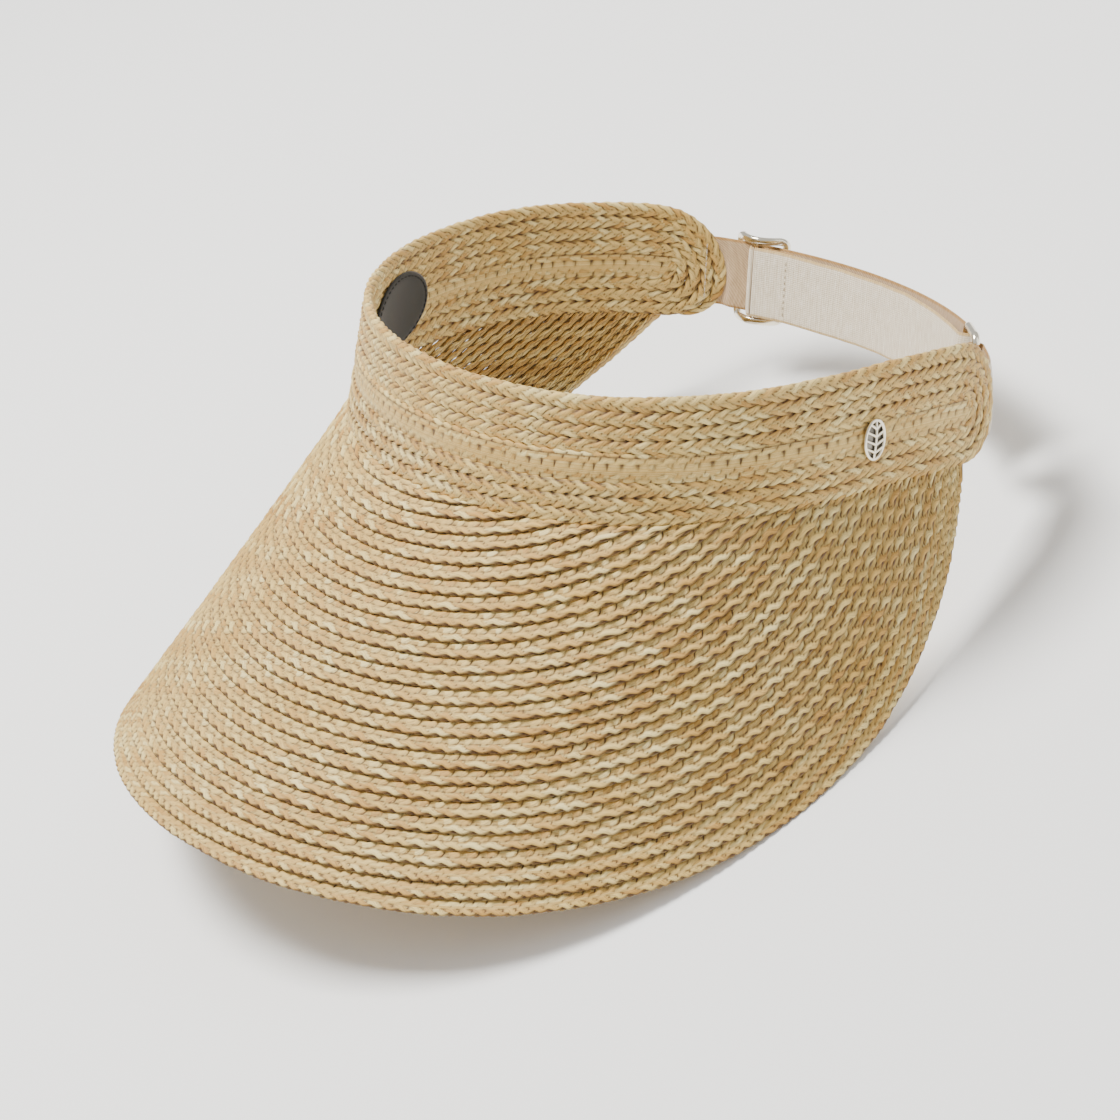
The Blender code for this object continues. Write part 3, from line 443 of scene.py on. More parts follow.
def crown_top_row(mat):
    """The last row: over the top, round both ends, and tapered out under the lower corners."""
    radius = CENTRE_HALF + (BAND_ROWS_BELOW + 0.5) * ROW_PITCH_BAND
    turn = np.linspace(math.pi / 2, TAIL_ANGLE, 60)
    end, up = BAND_STRAIGHT + radius * np.cos(turn), radius * np.sin(turn)
    straight = np.linspace(-BAND_STRAIGHT, BAND_STRAIGHT, 400)
    distance = np.concatenate([-end[::-1], straight, end])
    height = BAND_CENTRE_UP + np.concatenate([up[::-1], np.full_like(straight, radius), up])
    path, at, total = resample(np.stack([distance, height], -1), STATION)
    centre, across, out = band_strip(path[:, 0], path[:, 1], False)
    to_tip = np.minimum(at, total - at)
    taper = np.clip(0.15 + 0.85 * (to_tip / (radius * abs(TAIL_ANGLE))) ** 0.7, 0, 1)
    across = across * np.sign(across[len(at) // 2, 2])
    centre = centre - across * ((1 - taper) * (ROW_PITCH_BAND / 2 + ROW_BITE))[:, None]
    obj = braid("band_braid_top", centre, across, out, (ROW_PITCH_BAND / 2 + ROW_BITE) * taper,
                BAND_THICKNESS / 2 * BAND_PLAIT_SHARE * taper, mat, 21, BAND_PLAIT, fade=taper,
                shaded_grooves=(ROW_PITCH_BAND + ROW_BITE,), roundness=0.85)
    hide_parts("crown_top_row")


def crown_centre(mat):
    """The wide flat braid in the middle of the band: four columns of strands, with rounded ends."""
    reach = CENTRE_HALF + 1.8 * ROW_BITE
    distance = np.linspace(-BAND_STRAIGHT - reach * 0.97, BAND_STRAIGHT + reach * 0.97,
                           int(2 * BAND_STRAIGHT / STATION))
    beyond = np.clip(np.abs(distance) - BAND_STRAIGHT, 0, reach)
    half = np.sqrt(reach**2 - beyond**2)
    centre, across, out = band_strip(distance, np.full_like(distance, BAND_CENTRE_UP), False)
    obj = braid("band_braid_centre", centre, across, out, half,
                np.full_like(half, BAND_THICKNESS / 2 * CENTRE_PLAIT_SHARE), mat, 31, CENTRE_PLAIT,
                shaded_grooves=(ROW_BITE, 2 * CENTRE_HALF + ROW_BITE), roundness=0.5)
    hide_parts("crown_centre_braid")


# ---------------------------------------------------------------- webbing

def arc_point(angle, radius):
    """A point on the strap's arc, in plan; angle 0 is the middle of the back."""
    return np.stack([radius * np.sin(angle), ARC_CENTRE_Y + radius * np.cos(angle)], -1)


def ease(start, start_way, end, end_way, steps):
    """A smooth plan curve between two points with given directions (cubic Hermite)."""
    t = np.linspace(0, 1, steps + 1)[:, None]
    reach = np.linalg.norm(end - start)
    return ((2 * t**3 - 3 * t**2 + 1) * start + (t**3 - 2 * t**2 + t) * reach * start_way
            + (3 * t**2 - 2 * t**3) * end + (t**3 - t**2) * reach * end_way)


def around(centre, radius, first, last, steps):
    angle = np.linspace(first, last, steps + 1)
    return centre + radius * np.stack([np.cos(angle), np.sin(angle)], -1)


def tucked_end(side, height, off):
    """Plan points of webbing tucked into the band's rounded end, at one height, running out of it."""
    up = height - float(band_rise(side * BAND_END_ANGLE))
    reach = math.sqrt(max(END_RADIUS**2 - (up - BAND_CENTRE_UP) ** 2, 1.0))
    distance = BAND_STRAIGHT + reach + np.linspace(-TUCK, -0.5, 12)
    return band_point(side * distance / MEAN_RADIUS, np.full(12, up), off)[:, :2]


def bar_angle(centre_angle, length, bar, side):
    return centre_angle + side * (length - bar) / 2 / STRAP_ARC_RADIUS


def webbing(name, path_at, mat, body, tan_side, wave=0.0, seed=1):
    """Woven strap on edge, its thickness falling to a rounded selvedge; path_at(height) is its plan.

    tan_side is 1 where the face to the left of the path is the tan one, 0 where it is the right one.
    wave, in millimetres, bows the strap and its edges in and out a little, as soft webbing does.
    """
    plans = [path_at(height) for height in np.linspace(WEBBING_LOW, WEBBING_HIGH, CLOTH_LEVELS)]
    lengths = [resample(plan, CLOTH_STEP)[2] for plan in plans]
    steps = int(max(lengths) / CLOTH_STEP)
    plans = np.stack([resample(plan, length / steps)[0] for plan, length in zip(plans, lengths)])
    middle_plan = plans[CLOTH_LEVELS // 2]
    at = np.concatenate([[0], np.cumsum(np.linalg.norm(np.diff(middle_plan, axis=0), axis=1))])
    half = WEBBING_WIDTH / 2
    level = half * np.sin(np.linspace(-math.pi / 2, math.pi / 2, CLOTH_ACROSS))
    fat = WEBBING_THICKNESS / 2 * (1 - np.abs(level / half) ** 10) ** 0.5
    fat *= 1 - SELVEDGE_DIP * np.exp(-((np.abs(level) - half + SELVEDGE_IN) / 0.5) ** 2)
    ring_level = np.concatenate([level, level[-2:0:-1]])
    ring_fat = np.concatenate([fat, -fat[-2:0:-1]])
    plan_at = (ring_level / WEBBING_WIDTH + 0.5) * (CLOTH_LEVELS - 1)
    below = np.clip(plan_at.astype(int), 0, CLOTH_LEVELS - 2)
    share = (plan_at - below)[None, :, None]
    middle = plans[below].transpose(1, 0, 2) * (1 - share) + plans[below + 1].transpose(1, 0, 2) * share
    way = along_way(middle_plan)
    left = np.stack([way[:, 1], -way[:, 0]], -1)[:, None]
    rng = np.random.default_rng(seed)
    hush = wave * np.sin(math.pi * np.clip(at / at[-1], 0, 1))[:, None]
    bow = hush * (wander(at, rng, 70.0)[:, None]
                  + 0.8 * wander(at, rng, 38.0)[:, None] * ring_level / WEBBING_WIDTH)
    height = STRAP_HEIGHT + ring_level + 0.5 * hush * wander(at, rng, 50.0)[:, None]
    grid = np.concatenate([middle + left * (ring_fat + bow)[..., None], height[..., None]], -1)
    flat = (len(at), len(ring_level) + 1)
    uv = np.stack([np.broadcast_to(at[:, None], flat),
                   np.broadcast_to(np.append(ring_level, ring_level[0]), flat)], -1)
    face = np.clip(0.5 + 0.5 * np.sign(ring_fat), 0, 1)
    is_tan = np.where(tan_side > 0.5, face, 1 - face)
    return tube(name, grid, mat, body, uv=uv,
                values={"tan_face": np.broadcast_to(is_tan, height.shape)})


def strap(mat):
    """The strap's three runs: outer layer, inner layer, and the lap folded round the slider's bar."""
    ring_bar = bar_angle(RING_ANGLE, RING_LENGTH, RING_WIRE, -1)
    arc_start = SLIDER_ANGLE - SLIDER_LENGTH / 2 / STRAP_ARC_RADIUS
    arc = arc_point(np.linspace(arc_start, ring_bar, 120), OUTER_LAYER)
    turn = around(arc_point(ring_bar, STRAP_ARC_RADIUS), LAYER_SPREAD / 2,
                  math.pi / 2 - ring_bar, -math.pi / 2 - ring_bar, 24)[1:]

    def outer_plan(height):
        sewn = tucked_end(-1, height, 0.0)
        lead = ease(sewn[-1], unit(sewn[-1] - sewn[-2]), arc[0], unit(arc[1] - arc[0]), 20)[1:-1]
        return np.concatenate([sewn, lead, arc, turn])

    outer = webbing("strap_outer", outer_plan, mat, "root", tan_side=1.0)
    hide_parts("strap_webbing_outer")
    inner_path = arc_point(np.linspace(SLIDER_ANGLE + 0.004, ring_bar, 160), INNER_LAYER)
    inner = webbing("strap_inner", lambda height: inner_path, mat, None, tan_side=0.0,
                    wave=0.6, seed=5)
    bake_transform(inner)
    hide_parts("strap_webbing_inner")
    spread = BAR_RADIUS - INNER_LAYER
    fold = around(arc_point(SLIDER_ANGLE, BAR_RADIUS), spread,
                  -math.pi / 2 - SLIDER_ANGLE, -3 * math.pi / 2 - SLIDER_ANGLE, 20)
    doubled = INNER_LAYER + WEBBING_THICKNESS + GAP
    angle = np.linspace(SLIDER_ANGLE, SLIDER_ANGLE + (LOOP_END_LENGTH - LOOP_LAP_SHORT) / STRAP_ARC_RADIUS,
                        24)[1:]
    settle = 1 - np.clip((angle - SLIDER_ANGLE) * STRAP_ARC_RADIUS / LOOP_SETTLE, 0, 1)
    lap = arc_point(angle, doubled + (INNER_LAYER + 2 * spread - doubled) * settle**2)
    path = np.concatenate([fold, lap])
    loop = webbing("strap_fold", lambda height: path, mat, "slider", tan_side=1.0)
    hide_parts("strap_loop_end")


def ring_tab(mat):
    """Short loop of webbing tucked into the near end of the band, folded round the ring's tab bar."""
    bar = bar_angle(RING_ANGLE, RING_LENGTH, RING_WIRE, 1)
    fold = around(arc_point(bar, STRAP_ARC_RADIUS), RING_WIRE / 2 + RING_PLAY + WEBBING_THICKNESS / 2,
                  math.pi / 2 - bar, 3 * math.pi / 2 - bar, 20)
    way = np.array([math.cos(bar), -math.sin(bar)])

    def plan(height):
        outer, inner = tucked_end(1, height, TAB_SPREAD), tucked_end(1, height, -TAB_SPREAD)
        lead_out = ease(outer[-1], unit(outer[-1] - outer[-2]), fold[0], -way, 16)[1:-1]
        lead_in = ease(fold[-1], way, inner[-1], unit(inner[-2] - inner[-1]), 16)[1:-1]
        return np.concatenate([outer, lead_out, fold, lead_in, inner[::-1]])

    obj = webbing("ring_loop", plan, mat, "root", tan_side=0.0)
    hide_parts("ring_tab")


def stitches(name, spots, ways, facing, length, width, mat, body, node):
    """Separate stitches: short rounded tubes of thread whose ends dip into the cloth.

    Each is an arch: its height over the cloth is a half sine along it, and its section is a circle.
    """
    steps, sides = 7, 6
    t = np.linspace(0, 1, steps)
    ring = 2 * math.pi * np.arange(sides) / sides
    arch = np.sin(math.pi * t)
    fat = (width / 2 * (0.35 + 0.65 * arch))[:, None, None]
    skins, faces = [], []
    quads, _ = grid_faces(steps, sides, False)
    for number, (spot, way, face) in enumerate(zip(spots, ways, facing)):
        side = np.cross(way, face)
        line = (spot + way * ((t - 0.5) * length)[:, None]
                + face * (width * (0.9 * arch - 0.45))[:, None])
        skins.append(line[:, None] + fat * (side * np.cos(ring)[:, None] + face * np.sin(ring)[:, None]))
        base = number * steps * sides
        faces += (quads + base).tolist()
        faces += [list(range(base, base + sides))[::-1],
                  list(range(base + (steps - 1) * sides, base + steps * sides))]
    points = place(np.reshape(skins, (-1, 3)))
    mesh = bpy.data.meshes.new(name)
    mesh.from_pydata(points.tolist(), [], faces)
    if not faces_outward(points[:steps * sides], quads):
        mesh.flip_normals()
    mesh.shade_smooth()
    obj = add_piece(name, mesh, mat, body)
    if node:
        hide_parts(node)


def upright_seam(name, spot, facing, mat, body, node):
    """A row of stitches across the webbing, at a plan point, facing a plan direction."""
    count = 9
    reach = WEBBING_WIDTH - 2 * SEAM_MARGIN
    heights = STRAP_HEIGHT + (np.arange(count) + 0.5) / count * reach - reach / 2
    spots = np.stack([np.full(count, spot[0]), np.full(count, spot[1]), heights], -1)
    up = np.tile([0.0, 0.0, 1.0], (count, 1))
    face = np.tile([facing[0], facing[1], 0.0], (count, 1))
    stitches(name, spots, up, face, reach / count * 0.86, 0.42, mat, body, node)


def seams(mat):
    for name, side, node in (("far_stitches", -1, "far_anchor_seam"),
                             ("near_stitches", 1, "near_tab_seam")):
        phi = np.array(side * SEAM_ANGLE)
        spot = band_point(phi, STRAP_HEIGHT - band_rise(phi), -BAND_THICKNESS / 2)[:2]
        facing = -unit((band_point(phi, np.array(0.0), 1.0) - band_point(phi, np.array(0.0), 0.0))[:2])
        upright_seam(name, spot, facing, mat, "root", node)
    angle = SLIDER_ANGLE + (LOOP_END_LENGTH - SEAM_FROM_END) / STRAP_ARC_RADIUS
    spot = arc_point(angle, INNER_LAYER - WEBBING_THICKNESS / 2)
    upright_seam("fold_stitches", spot, -np.array([math.sin(angle), math.cos(angle)]), mat, "slider",
                 "loop_end_seam")


# ---------------------------------------------------------------- metal

WIRE_STEP = 0.35
SLIDER_CORNER, RAIL_HALF, RAIL_SQUARENESS = 1.8, SLIDER_RAIL_HEIGHT / 2 * 1.15, 0.6
EMBLEM_RIM, EMBLEM_STEM, EMBLEM_RIB = 0.5, 0.4, 0.42        # half the width of each bar
EMBLEM_DOME = 0.75
EMBLEM_RIB_LEVELS = (-3.4, -1.1, 1.2, 3.3)


def sweep(name, path, first_side, half_a, half_b, power, mat, body, closed=True, sides=20):
    """A bar along a path: its section is a superellipse, half_a along first_side and half_b across it."""
    way = along_way(path, closed)
    side_b = unit(np.cross(way, first_side))
    side_a = unit(np.cross(side_b, way))
    angle = 2 * math.pi * np.arange(sides) / sides
    a = half_a * np.sign(np.cos(angle)) * np.abs(np.cos(angle)) ** power
    b = half_b * np.sign(np.sin(angle)) * np.abs(np.sin(angle)) ** power
    grid = path[:, None] + side_a[:, None] * a[:, None] + side_b[:, None] * b[:, None]
    return tube(name, grid, mat, body, closed=closed)


def rounded_rectangle(half_x, half_y, corner):
    """Points round a rectangle with round corners, WIRE_STEP apart."""
    points = []
    for sx, sy, first in ((1, 1, 0), (-1, 1, 90), (-1, -1, 180), (1, -1, 270)):
        angle = np.radians(np.linspace(first, first + 90, 12))
        points.append(np.stack([sx * (half_x - corner) + corner * np.cos(angle),
                                sy * (half_y - corner) + corner * np.sin(angle)], -1))
    return resample(np.concatenate(points), WIRE_STEP, closed=True)[0]


def on_strap(along, out, up, angle):
    """Points along the strap, outwards and up from an angle on its arc, and the outward direction."""
    spot = arc_point(angle, STRAP_ARC_RADIUS)
    way = np.array([math.cos(angle), -math.sin(angle)])
    outward = np.array([math.sin(angle), math.cos(angle)])
    plan = spot + along[:, None] * way + out[:, None] * outward
    return np.concatenate([plan, STRAP_HEIGHT + up[:, None]], 1), np.array([*outward, 0.0])


def slider(mat):
    """Bowed slider: a frame whose ends stand outside the webbing, and the bar that holds the fold."""
    half_up = WEBBING_WIDTH / 2 + EDGE_CLEARANCE + SLIDER_RAIL_HEIGHT / 2
    half_long = (SLIDER_LENGTH - SLIDER_SIDE_BAR) / 2
    loop = rounded_rectangle(half_long, half_up, SLIDER_CORNER)
    centre_out = BAR_RADIUS - STRAP_ARC_RADIUS
    side_out = OUTER_LAYER + WEBBING_THICKNESS / 2 + GAP + SLIDER_SIDE_BAR / 2 - STRAP_ARC_RADIUS
    out = centre_out + (side_out - centre_out) * (loop[:, 0] / half_long) ** 2
    path, outward = on_strap(loop[:, 0], out, loop[:, 1], SLIDER_ANGLE)
    frame_bar = sweep("slider_frame", path, outward, SLIDER_SIDE_BAR / 2, RAIL_HALF, RAIL_SQUARENESS,
                      mat, "slider")
    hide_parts("slider_buckle")
    up = np.linspace(-half_up, half_up, 30)
    path, outward = on_strap(0 * up, np.full_like(up, centre_out), up, SLIDER_ANGLE)
    sweep("slider_bar", path, outward, SLIDER_BAR / 2, SLIDER_BAR / 2, 1.0, mat, "slider", closed=False)


def end_ring(mat):
    """Rectangular ring of round wire."""
    half_up = WEBBING_WIDTH / 2 + EDGE_CLEARANCE + RING_WIRE / 2
    loop = rounded_rectangle((RING_LENGTH - RING_WIRE) / 2, half_up, RING_CORNER)
    path, outward = on_strap(loop[:, 0], np.zeros(len(loop)), loop[:, 1], RING_ANGLE)
    ring = sweep("ring", path, outward, RING_WIRE / 2, RING_WIRE / 2, 1.0, mat, "ring")
    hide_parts("end_ring")


def emblem(mat, hole_shade_metal):
    """A small openwork oval: a rim, a stem, and slanted ribs on a domed back of darker metal, which stands
    in as painted shade down in the holes.
    """
    phi, up = np.array(EMBLEM_ANGLE), np.array(EMBLEM_HEIGHT_UP)
    base = band_point(phi, up, BAND_THICKNESS / 2 + GAP + 0.35)
    outward = unit(band_point(phi, up, 1.0) - band_point(phi, up, 0.0))
    upward = np.array([0.0, 0.0, 1.0])
    sideways = np.cross(upward, outward)
    wide, tall = EMBLEM_WIDTH / 2 - 0.45, EMBLEM_HEIGHT / 2 - 0.45

    def dome(x, y):
        high = EMBLEM_DOME * np.clip(1 - (x / wide) ** 2 * 0.7 - (y / tall) ** 2 * 0.7, 0, 1)
        return base + x[..., None] * sideways + y[..., None] * upward + high[..., None] * outward

    t = 2 * math.pi * np.arange(72) / 72
    rim = sweep("emblem_rim", dome(wide * np.cos(t), tall * np.sin(t)), outward, EMBLEM_RIM, EMBLEM_RIM,
                1.0, mat, "root", sides=10)
    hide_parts("emblem_stud")
    stem = np.linspace(-tall, tall, 30)
    sweep("emblem_stem", dome(0 * stem, stem), outward, EMBLEM_STEM, EMBLEM_STEM, 1.0, mat, "root",
          closed=False, sides=10)
    s = np.linspace(0, 1, 16)
    for number, level in enumerate(EMBLEM_RIB_LEVELS, 1):
        reach = wide * math.sqrt(max(1 - ((level + 1.1) / tall) ** 2, 0.1))
        for word, side in (("left", -1), ("right", 1)):
            sweep(f"emblem_rib_{word}_{number}", dome(side * reach * s, level + 1.5 * s**0.8 - 0.3), outward,
                  EMBLEM_RIB, EMBLEM_RIB, 1.0, mat, "root", closed=False, sides=8)
    # painted shade: a back of darker metal under the openwork, in place of the shade down in its holes
    ring = np.linspace(0.04, 1, 9)[:, None]
    x, y = wide * ring * np.cos(t), tall * ring * np.sin(t)
    front = dome(x, y) - 0.55 * outward
    back = (base + x[..., None] * sideways + y[..., None] * upward - 0.3 * outward)[::-1]
    tube("emblem_shade_back", np.concatenate([front, back]), hole_shade_metal, "root")


# ---------------------------------------------------------------- label

LABEL_SEAM_SHARE, LABEL_STITCHES = 0.9, 44


def label(mat, thread):
    """A plain dark oval patch inside the band: a low pillow, sewn round near its rim."""
    share = np.linspace(0.02, 1, 26)[:, None]
    t = 2 * math.pi * np.arange(96) / 96
    near = -(BAND_THICKNESS / 2 + GAP - 0.15)
    half_width, half_height = LABEL_WIDTH / 2, LABEL_HEIGHT / 2

    def patch(r, angle, depth):
        phi = LABEL_ANGLE + half_width * r * np.cos(angle) / MEAN_RADIUS
        return band_point(phi, LABEL_HEIGHT_UP + half_height * r * np.sin(angle), near - depth)

    rise = (LABEL_THICKNESS * (1 - share**14) ** 0.5
            - 0.16 * np.exp(-((share - LABEL_SEAM_SHARE) / 0.02) ** 2))
    grid = np.concatenate([patch(share, t, rise), patch(share[::-1], t, 0.0)[1:]])
    flat = np.stack([half_width * share * np.cos(t), half_height * share * np.sin(t)], -1)
    flat = np.concatenate([flat, flat[::-1][1:]])
    obj = tube("label_patch", grid, mat, "root", uv=np.concatenate([flat, flat[:, :1]], 1))
    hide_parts("inner_label")
    angle = 2 * math.pi * (np.arange(LABEL_STITCHES) + 0.5) / LABEL_STITCHES
    depth = LABEL_THICKNESS - 0.12
    spots = patch(LABEL_SEAM_SHARE, angle, depth)
    after = patch(LABEL_SEAM_SHARE, angle + 0.01, depth)
    phi = LABEL_ANGLE + half_width * LABEL_SEAM_SHARE * np.cos(angle) / MEAN_RADIUS
    inward = unit(band_point(phi, LABEL_HEIGHT_UP, 0.0) - band_point(phi, LABEL_HEIGHT_UP, 1.0))
    stitches("label_stitches", spots, unit(after - spots), inward, 1.7, 0.34, thread, "root", None)


# ---------------------------------------------------------------- materials

def linear(hex_colour):
    """sRGB hex to linear red, green, blue and alpha."""
    value = np.array([int(hex_colour[k:k + 2], 16) for k in (1, 3, 5)]) / 255
    value = np.where(value <= 0.04045, value / 12.92, ((value + 0.055) / 1.055) ** 2.4)
    return (*value.tolist(), 1.0)


def add_node(tree, kind, links=None, **settings):
    """Adds a node, sets its properties and inputs, and links inputs by their number or name."""
    node = tree.nodes.new(kind)
    for key, value in settings.items():
        if hasattr(node, key):
            setattr(node, key, value)
        else:
            node.inputs[key.replace("_", " ")].default_value = value
    for key, source in (links or {}).items():
        if isinstance(source, (int, float)):
            node.inputs[key].default_value = source
        else:
            tree.links.new(source, node.inputs[key])
    return node


def new_material(name, **shader):
    mat = bpy.data.materials.new(name)
    mat.use_nodes = True
    base = mat.node_tree.nodes["Principled BSDF"]
    for key, value in shader.items():
        base.inputs[key.replace("_", " ")].default_value = value
    return mat, mat.node_tree, base


def ramp(tree, source, stops):
    """A colour ramp through (position, hex colour) stops."""
    node = add_node(tree, "ShaderNodeValToRGB", {0: source})
    elements = node.color_ramp.elements
    while len(elements) > 1:
        elements.remove(elements[-1])
    elements[0].position, elements[0].color = stops[0][0], linear(stops[0][1])
    for position, colour in stops[1:]:
        elements.new(position).color = linear(colour)
    return node.outputs[0]


def mix(tree, factor, a, b, blend="MIX"):
    """Mixes colour a with colour b by factor."""
    node = add_node(tree, "ShaderNodeMix", {0: factor}, data_type="RGBA", blend_type=blend)
    for socket, value in ((node.inputs[6], a), (node.inputs[7], b)):
        if isinstance(value, tuple):
            socket.default_value = value
        else:
            tree.links.new(value, socket)
    return node.outputs[2]


def math_step(tree, operation, *values):
    """One math step."""
    return add_node(tree, "ShaderNodeMath", dict(enumerate(values)), operation=operation).outputs[0]


def strip_map(tree):
    """The way along a strip, or its strand number, and the way across it, from the UV map."""
    uv = add_node(tree, "ShaderNodeUVMap", uv_map="plait").outputs[0]
    split = add_node(tree, "ShaderNodeSeparateXYZ", {0: uv})
    return split.outputs[0], split.outputs[1]


def dress(tree, base, colour, height, strength, depth):
    """Links a colour to the shader, and a bump whose full height is depth metres."""
    tree.links.new(colour, base.inputs["Base Color"])
    bump = add_node(tree, "ShaderNodeBump", {"Height": height}, Strength=strength, Distance=depth)
    tree.links.new(bump.outputs[0], base.inputs["Normal"])


def raffia():
    """Raffia palm leaf, split, folded and plaited dry.

    Each strand has its own straw tone and faint fibres along it; it is matt with a slight shine on
    the fibre's skin. Painted shade turns it dark brown down in the gaps between strands and along
    the grooves between rows.
    """
    mat, tree, base = new_material("raffia_plaited", Roughness=0.6, Specular_IOR_Level=0.32,
                                   Sheen_Weight=0.12, Sheen_Roughness=0.5)
    strand, inward = strip_map(tree)
    number = math_step(tree, "FLOOR", strand)
    own = add_node(tree, "ShaderNodeTexWhiteNoise", {"W": number}, noise_dimensions="1D").outputs[0]
    tone = ramp(tree, own, [(0.0, "#C59A52"), (0.25, "#D6B167"), (0.6, "#E2C47A"), (1.0, "#F2DFA0")])
    # fibres run along the strand: about ten to a strand's width, and long
    lengthwise = add_node(tree, "ShaderNodeCombineXYZ", {0: math_step(tree, "MULTIPLY", strand, 9.0),
                                                         1: math_step(tree, "MULTIPLY", inward, 0.45)})
    fibres = add_node(tree, "ShaderNodeTexNoise", {"Vector": lengthwise.outputs[0]}, noise_dimensions="2D",
                      Scale=1.0, Detail=3.0, Roughness=0.6).outputs[0]
    streak = ramp(tree, fibres, [(0.30, "#957A48"), (0.50, "#FFFFFF"), (0.8, "#FFF4D0")])
    tone = mix(tree, 0.55, tone, streak, "MULTIPLY")
    spot = add_node(tree, "ShaderNodeTexCoord").outputs["Object"]
    # the leaf's colour drifts over a few centimetres
    drift = add_node(tree, "ShaderNodeTexNoise", {"Vector": spot}, Scale=38.0, Detail=2.0).outputs[0]
    tone = mix(tree, 0.5, tone, ramp(tree, drift, [(0.3, "#E6D8A8"), (0.7, "#FFFFFF")]), "MULTIPLY")
    ridge = add_node(tree, "ShaderNodeAttribute", attribute_name="ridge").outputs["Fac"]
    # painted shade: dark brown is mixed into the straw where the ridge attribute is low, in the plait's
    # valleys and in the grooves between rows
    painted_gap_shade = ramp(tree, ridge, [(0.05, "#FFFFFF"), (0.30, "#808080"), (0.66, "#000000")])
    dress(tree, base, mix(tree, painted_gap_shade, tone, linear("#4C3014")), fibres, 0.5, 0.00018)
    return mat


def webbing_cloth():
    """Polyester-cotton webbing, woven with a tan twill face and a cream plain face.

    The twill's ribs show as fine diagonal lines, the plain face as fine upright ribs with slubs.
    """
    mat, tree, base = new_material("webbing_twill", Roughness=0.82, Specular_IOR_Level=0.2,
                                   Sheen_Weight=0.25, Sheen_Roughness=0.4)
    along, across = strip_map(tree)
    # twill lines 1.2 mm apart: drawn wider than the real 0.5 mm so that they show
    diagonal = math_step(tree, "MULTIPLY", math_step(tree, "ADD", along, across), 2 * math.pi / 1.2)
    twill = math_step(tree, "SINE", diagonal)
    # upright ribs 0.9 mm apart, and cross threads 0.6 mm apart
    rib = math_step(tree, "SINE", math_step(tree, "MULTIPLY", along, 2 * math.pi / 0.9))
    pick = math_step(tree, "SINE", math_step(tree, "MULTIPLY", across, 2 * math.pi / 0.6))
    plain = math_step(tree, "MULTIPLY", math_step(tree, "ADD", rib, pick), 0.5)
    is_tan = add_node(tree, "ShaderNodeAttribute", attribute_name="tan_face").outputs["Fac"]
    weave = add_node(tree, "ShaderNodeMix", {0: is_tan, 2: plain, 3: twill}, data_type="FLOAT").outputs[0]
    slub_at = add_node(tree, "ShaderNodeCombineXYZ", {0: math_step(tree, "MULTIPLY", along, 1.1),
                                                      1: math_step(tree, "MULTIPLY", across, 0.22)})
    slub = add_node(tree, "ShaderNodeTexNoise", {"Vector": slub_at.outputs[0]}, noise_dimensions="2D",
                    Scale=1.0, Detail=4.0, Roughness=0.65).outputs[0]
    cream = ramp(tree, slub, [(0.32, "#DCCFB8"), (0.55, "#E8DDC8"), (0.75, "#F2EADB")])
    tan = ramp(tree, slub, [(0.3, "#B69A78"), (0.7, "#CBB08D")])
    colour = mix(tree, is_tan, cream, tan)
    weave_share = math_step(tree, "MULTIPLY_ADD", weave, 0.5, 0.5)
    shade = ramp(tree, weave_share, [(0.0, "#D8CCBC"), (0.6, "#FFFFFF")])
    colour = mix(tree, 0.6, colour, shade, "MULTIPLY")
    edge = math_step(tree, "ABSOLUTE", across)
    to_edge = math_step(tree, "DIVIDE", edge, WEBBING_WIDTH / 2)
    selvedge = ramp(tree, to_edge, [(0.90, "#FFFFFF"), (0.95, "#E4CFA6")])
    dress(tree, base, mix(tree, 1.0, colour, selvedge, "MULTIPLY"), weave, 0.55, 0.00015)
    return mat


def spun_thread(name, colour):
    """Spun polyester thread: matt, with its twist as fine slanted lines."""
    mat, tree, base = new_material(name, Roughness=0.75, Specular_IOR_Level=0.25)
    spot = add_node(tree, "ShaderNodeTexCoord").outputs["Object"]
    twist = add_node(tree, "ShaderNodeTexWave", {"Vector": spot}, bands_direction="DIAGONAL",
                     Scale=900.0, Distortion=0.6)
    shade = ramp(tree, twist.outputs["Fac"], [(0.1, "#B8B0A4"), (0.7, "#FFFFFF")])
    dress(tree, base, mix(tree, 0.7, linear(colour), shade, "MULTIPLY"), twist.outputs["Fac"], 0.4, 0.00008)
    return mat


def plating(name, colour, roughness):
    """Bright plated steel wire, tumbled smooth: mirror-like with a faint warm cast and small scuffs."""
    mat, tree, base = new_material(name, Metallic=1.0, Base_Color=linear(colour))
    spot = add_node(tree, "ShaderNodeTexCoord").outputs["Object"]
    scuff = add_node(tree, "ShaderNodeTexNoise", {"Vector": spot}, Scale=700.0, Detail=4.0).outputs[0]
    rough = add_node(tree, "ShaderNodeMapRange", {"Value": scuff}, From_Min=0.3, From_Max=0.75,
                     To_Min=roughness * 0.7, To_Max=roughness * 1.6)
    tree.links.new(rough.outputs[0], base.inputs["Roughness"])
    return mat


def dark_cloth():
    """Near-black synthetic suede patch: matt, with a fine nap that lightens it in places."""
    mat, tree, base = new_material("label_suede", Roughness=0.85, Specular_IOR_Level=0.2,
                                   Sheen_Weight=0.35, Sheen_Roughness=0.45)
    uv = add_node(tree, "ShaderNodeUVMap", uv_map="plait").outputs[0]
    nap = add_node(tree, "ShaderNodeTexNoise", {"Vector": uv}, Scale=3.2, Detail=6.0,
                   Roughness=0.7).outputs[0]
    dress(tree, base, ramp(tree, nap, [(0.3, "#2A2824"), (0.6, "#37342F"), (0.8, "#48443D")]),
          nap, 0.4, 0.00012)
    return mat


# ---------------------------------------------------------------- camera, floor, light

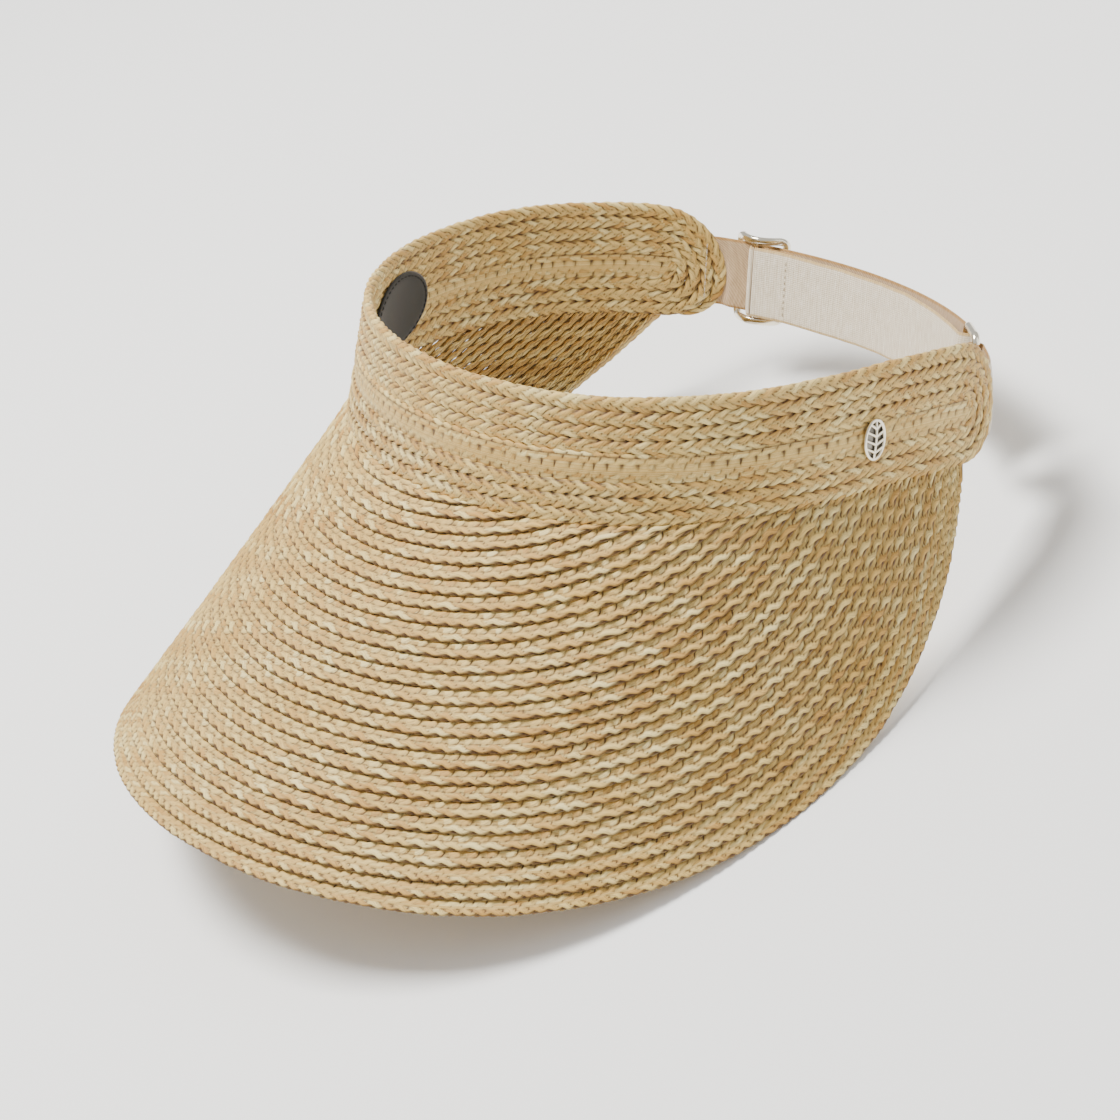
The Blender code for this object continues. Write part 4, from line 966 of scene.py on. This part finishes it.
CAMERA_AZIMUTH, CAMERA_ELEVATION, CAMERA_ROLL = np.radians([59.83, 19.72, 2.77])
CAMERA_DISTANCE = 1065.3
CAMERA_TARGET = np.array([-18.33, -27.62, -42.12])
CAMERA_LENS, CAMERA_SENSOR = 115.7, 36.0


def camera_axes():
    """Right, up and back directions of the camera, in the visor's frame."""
    az, el, roll = CAMERA_AZIMUTH, CAMERA_ELEVATION, CAMERA_ROLL
    back = np.array([math.sin(az) * math.cos(el), -math.cos(az) * math.cos(el), math.sin(el)])
    right = np.array([math.cos(az), math.sin(az), 0.0])
    up = np.cross(back, right)
    return (math.cos(roll) * right + math.sin(roll) * up,
            -math.sin(roll) * right + math.cos(roll) * up, back)


def camera():
    right, up, back = (TURN @ axis for axis in camera_axes())
    data = bpy.data.cameras.new("camera")
    data.lens = CAMERA_LENS
    data.sensor_width = CAMERA_SENSOR
    obj = bpy.data.objects.new("camera", data)
    matrix = Matrix(np.stack([right, up, back], 1).tolist()).to_4x4()
    matrix.translation = Vector(place([CAMERA_TARGET + CAMERA_DISTANCE * camera_axes()[2]])[0])
    obj.matrix_world = matrix
    bpy.context.scene.collection.objects.link(obj)
    bpy.context.scene.camera = obj


def area_light(name, offset, size, power, colour):
    """A soft square light, placed by its offset from the visor along the camera's right, up and back."""
    right, up, back = (TURN @ axis for axis in camera_axes())
    aim = np.array(place([[0.0, -30.0, -20.0]])[0])
    spot = aim + right * offset[0] + up * offset[1] + back * offset[2]
    data = bpy.data.lights.new(name, "AREA")
    data.size, data.energy, data.color = size, power, colour
    obj = bpy.data.objects.new(name, data)
    obj.location = spot
    obj.rotation_euler = Vector(aim - spot).to_track_quat("-Z", "Y").to_euler()
    bpy.context.scene.collection.objects.link(obj)


def studio():
    mesh = bpy.data.meshes.new("floor")
    half = 3.0
    corners = [(-half, -half, 0), (half, -half, 0), (half, half, 0), (-half, half, 0)]
    mesh.from_pydata(corners, [], [(0, 1, 2, 3)])
    floor = bpy.data.objects.new("floor", mesh)
    bpy.context.scene.collection.objects.link(floor)
    mat, _, _ = new_material("floor_paper", Roughness=0.9, Base_Color=linear("#FAFAF9"))
    mesh.materials.append(mat)
    world = bpy.data.worlds.new("studio")
    world.use_nodes = True
    background = world.node_tree.nodes["Background"]
    background.inputs["Color"].default_value = linear("#FFFFFF")
    background.inputs["Strength"].default_value = 0.68
    bpy.context.scene.world = world
    area_light("key", (-0.9, 1.1, 0.5), 0.6, 48.0, (1.0, 0.985, 0.95))
    area_light("fill", (1.0, 0.5, 1.0), 1.2, 5.0, (1.0, 1.0, 1.0))


def build():
    camera()
    studio()
    straw = raffia()
    cloth = webbing_cloth()
    thread = spun_thread("thread_sand", "#D6C8AF")
    black_thread = spun_thread("thread_black", "#2C2A26")
    bright = plating("bright_plating", "#F0E7D2", 0.16)
    # darker plating for the emblem's back, which is painted shade in the emblem's holes
    hole_shade_metal = plating("hole_shade_plating", "#8A857C", 0.4)
    for index in range(1, BRIM_ROWS + 1):
        brim_row(index, straw)
    for index in range(1, BAND_ROWS_BELOW + 1):
        crown_ring(index, straw)
    crown_top_row(straw)
    crown_centre(straw)
    strap(cloth)
    ring_tab(cloth)
    seams(thread)
    slider(bright)
    end_ring(bright)
    emblem(bright, hole_shade_metal)
    label(dark_cloth(), black_thread)


build()
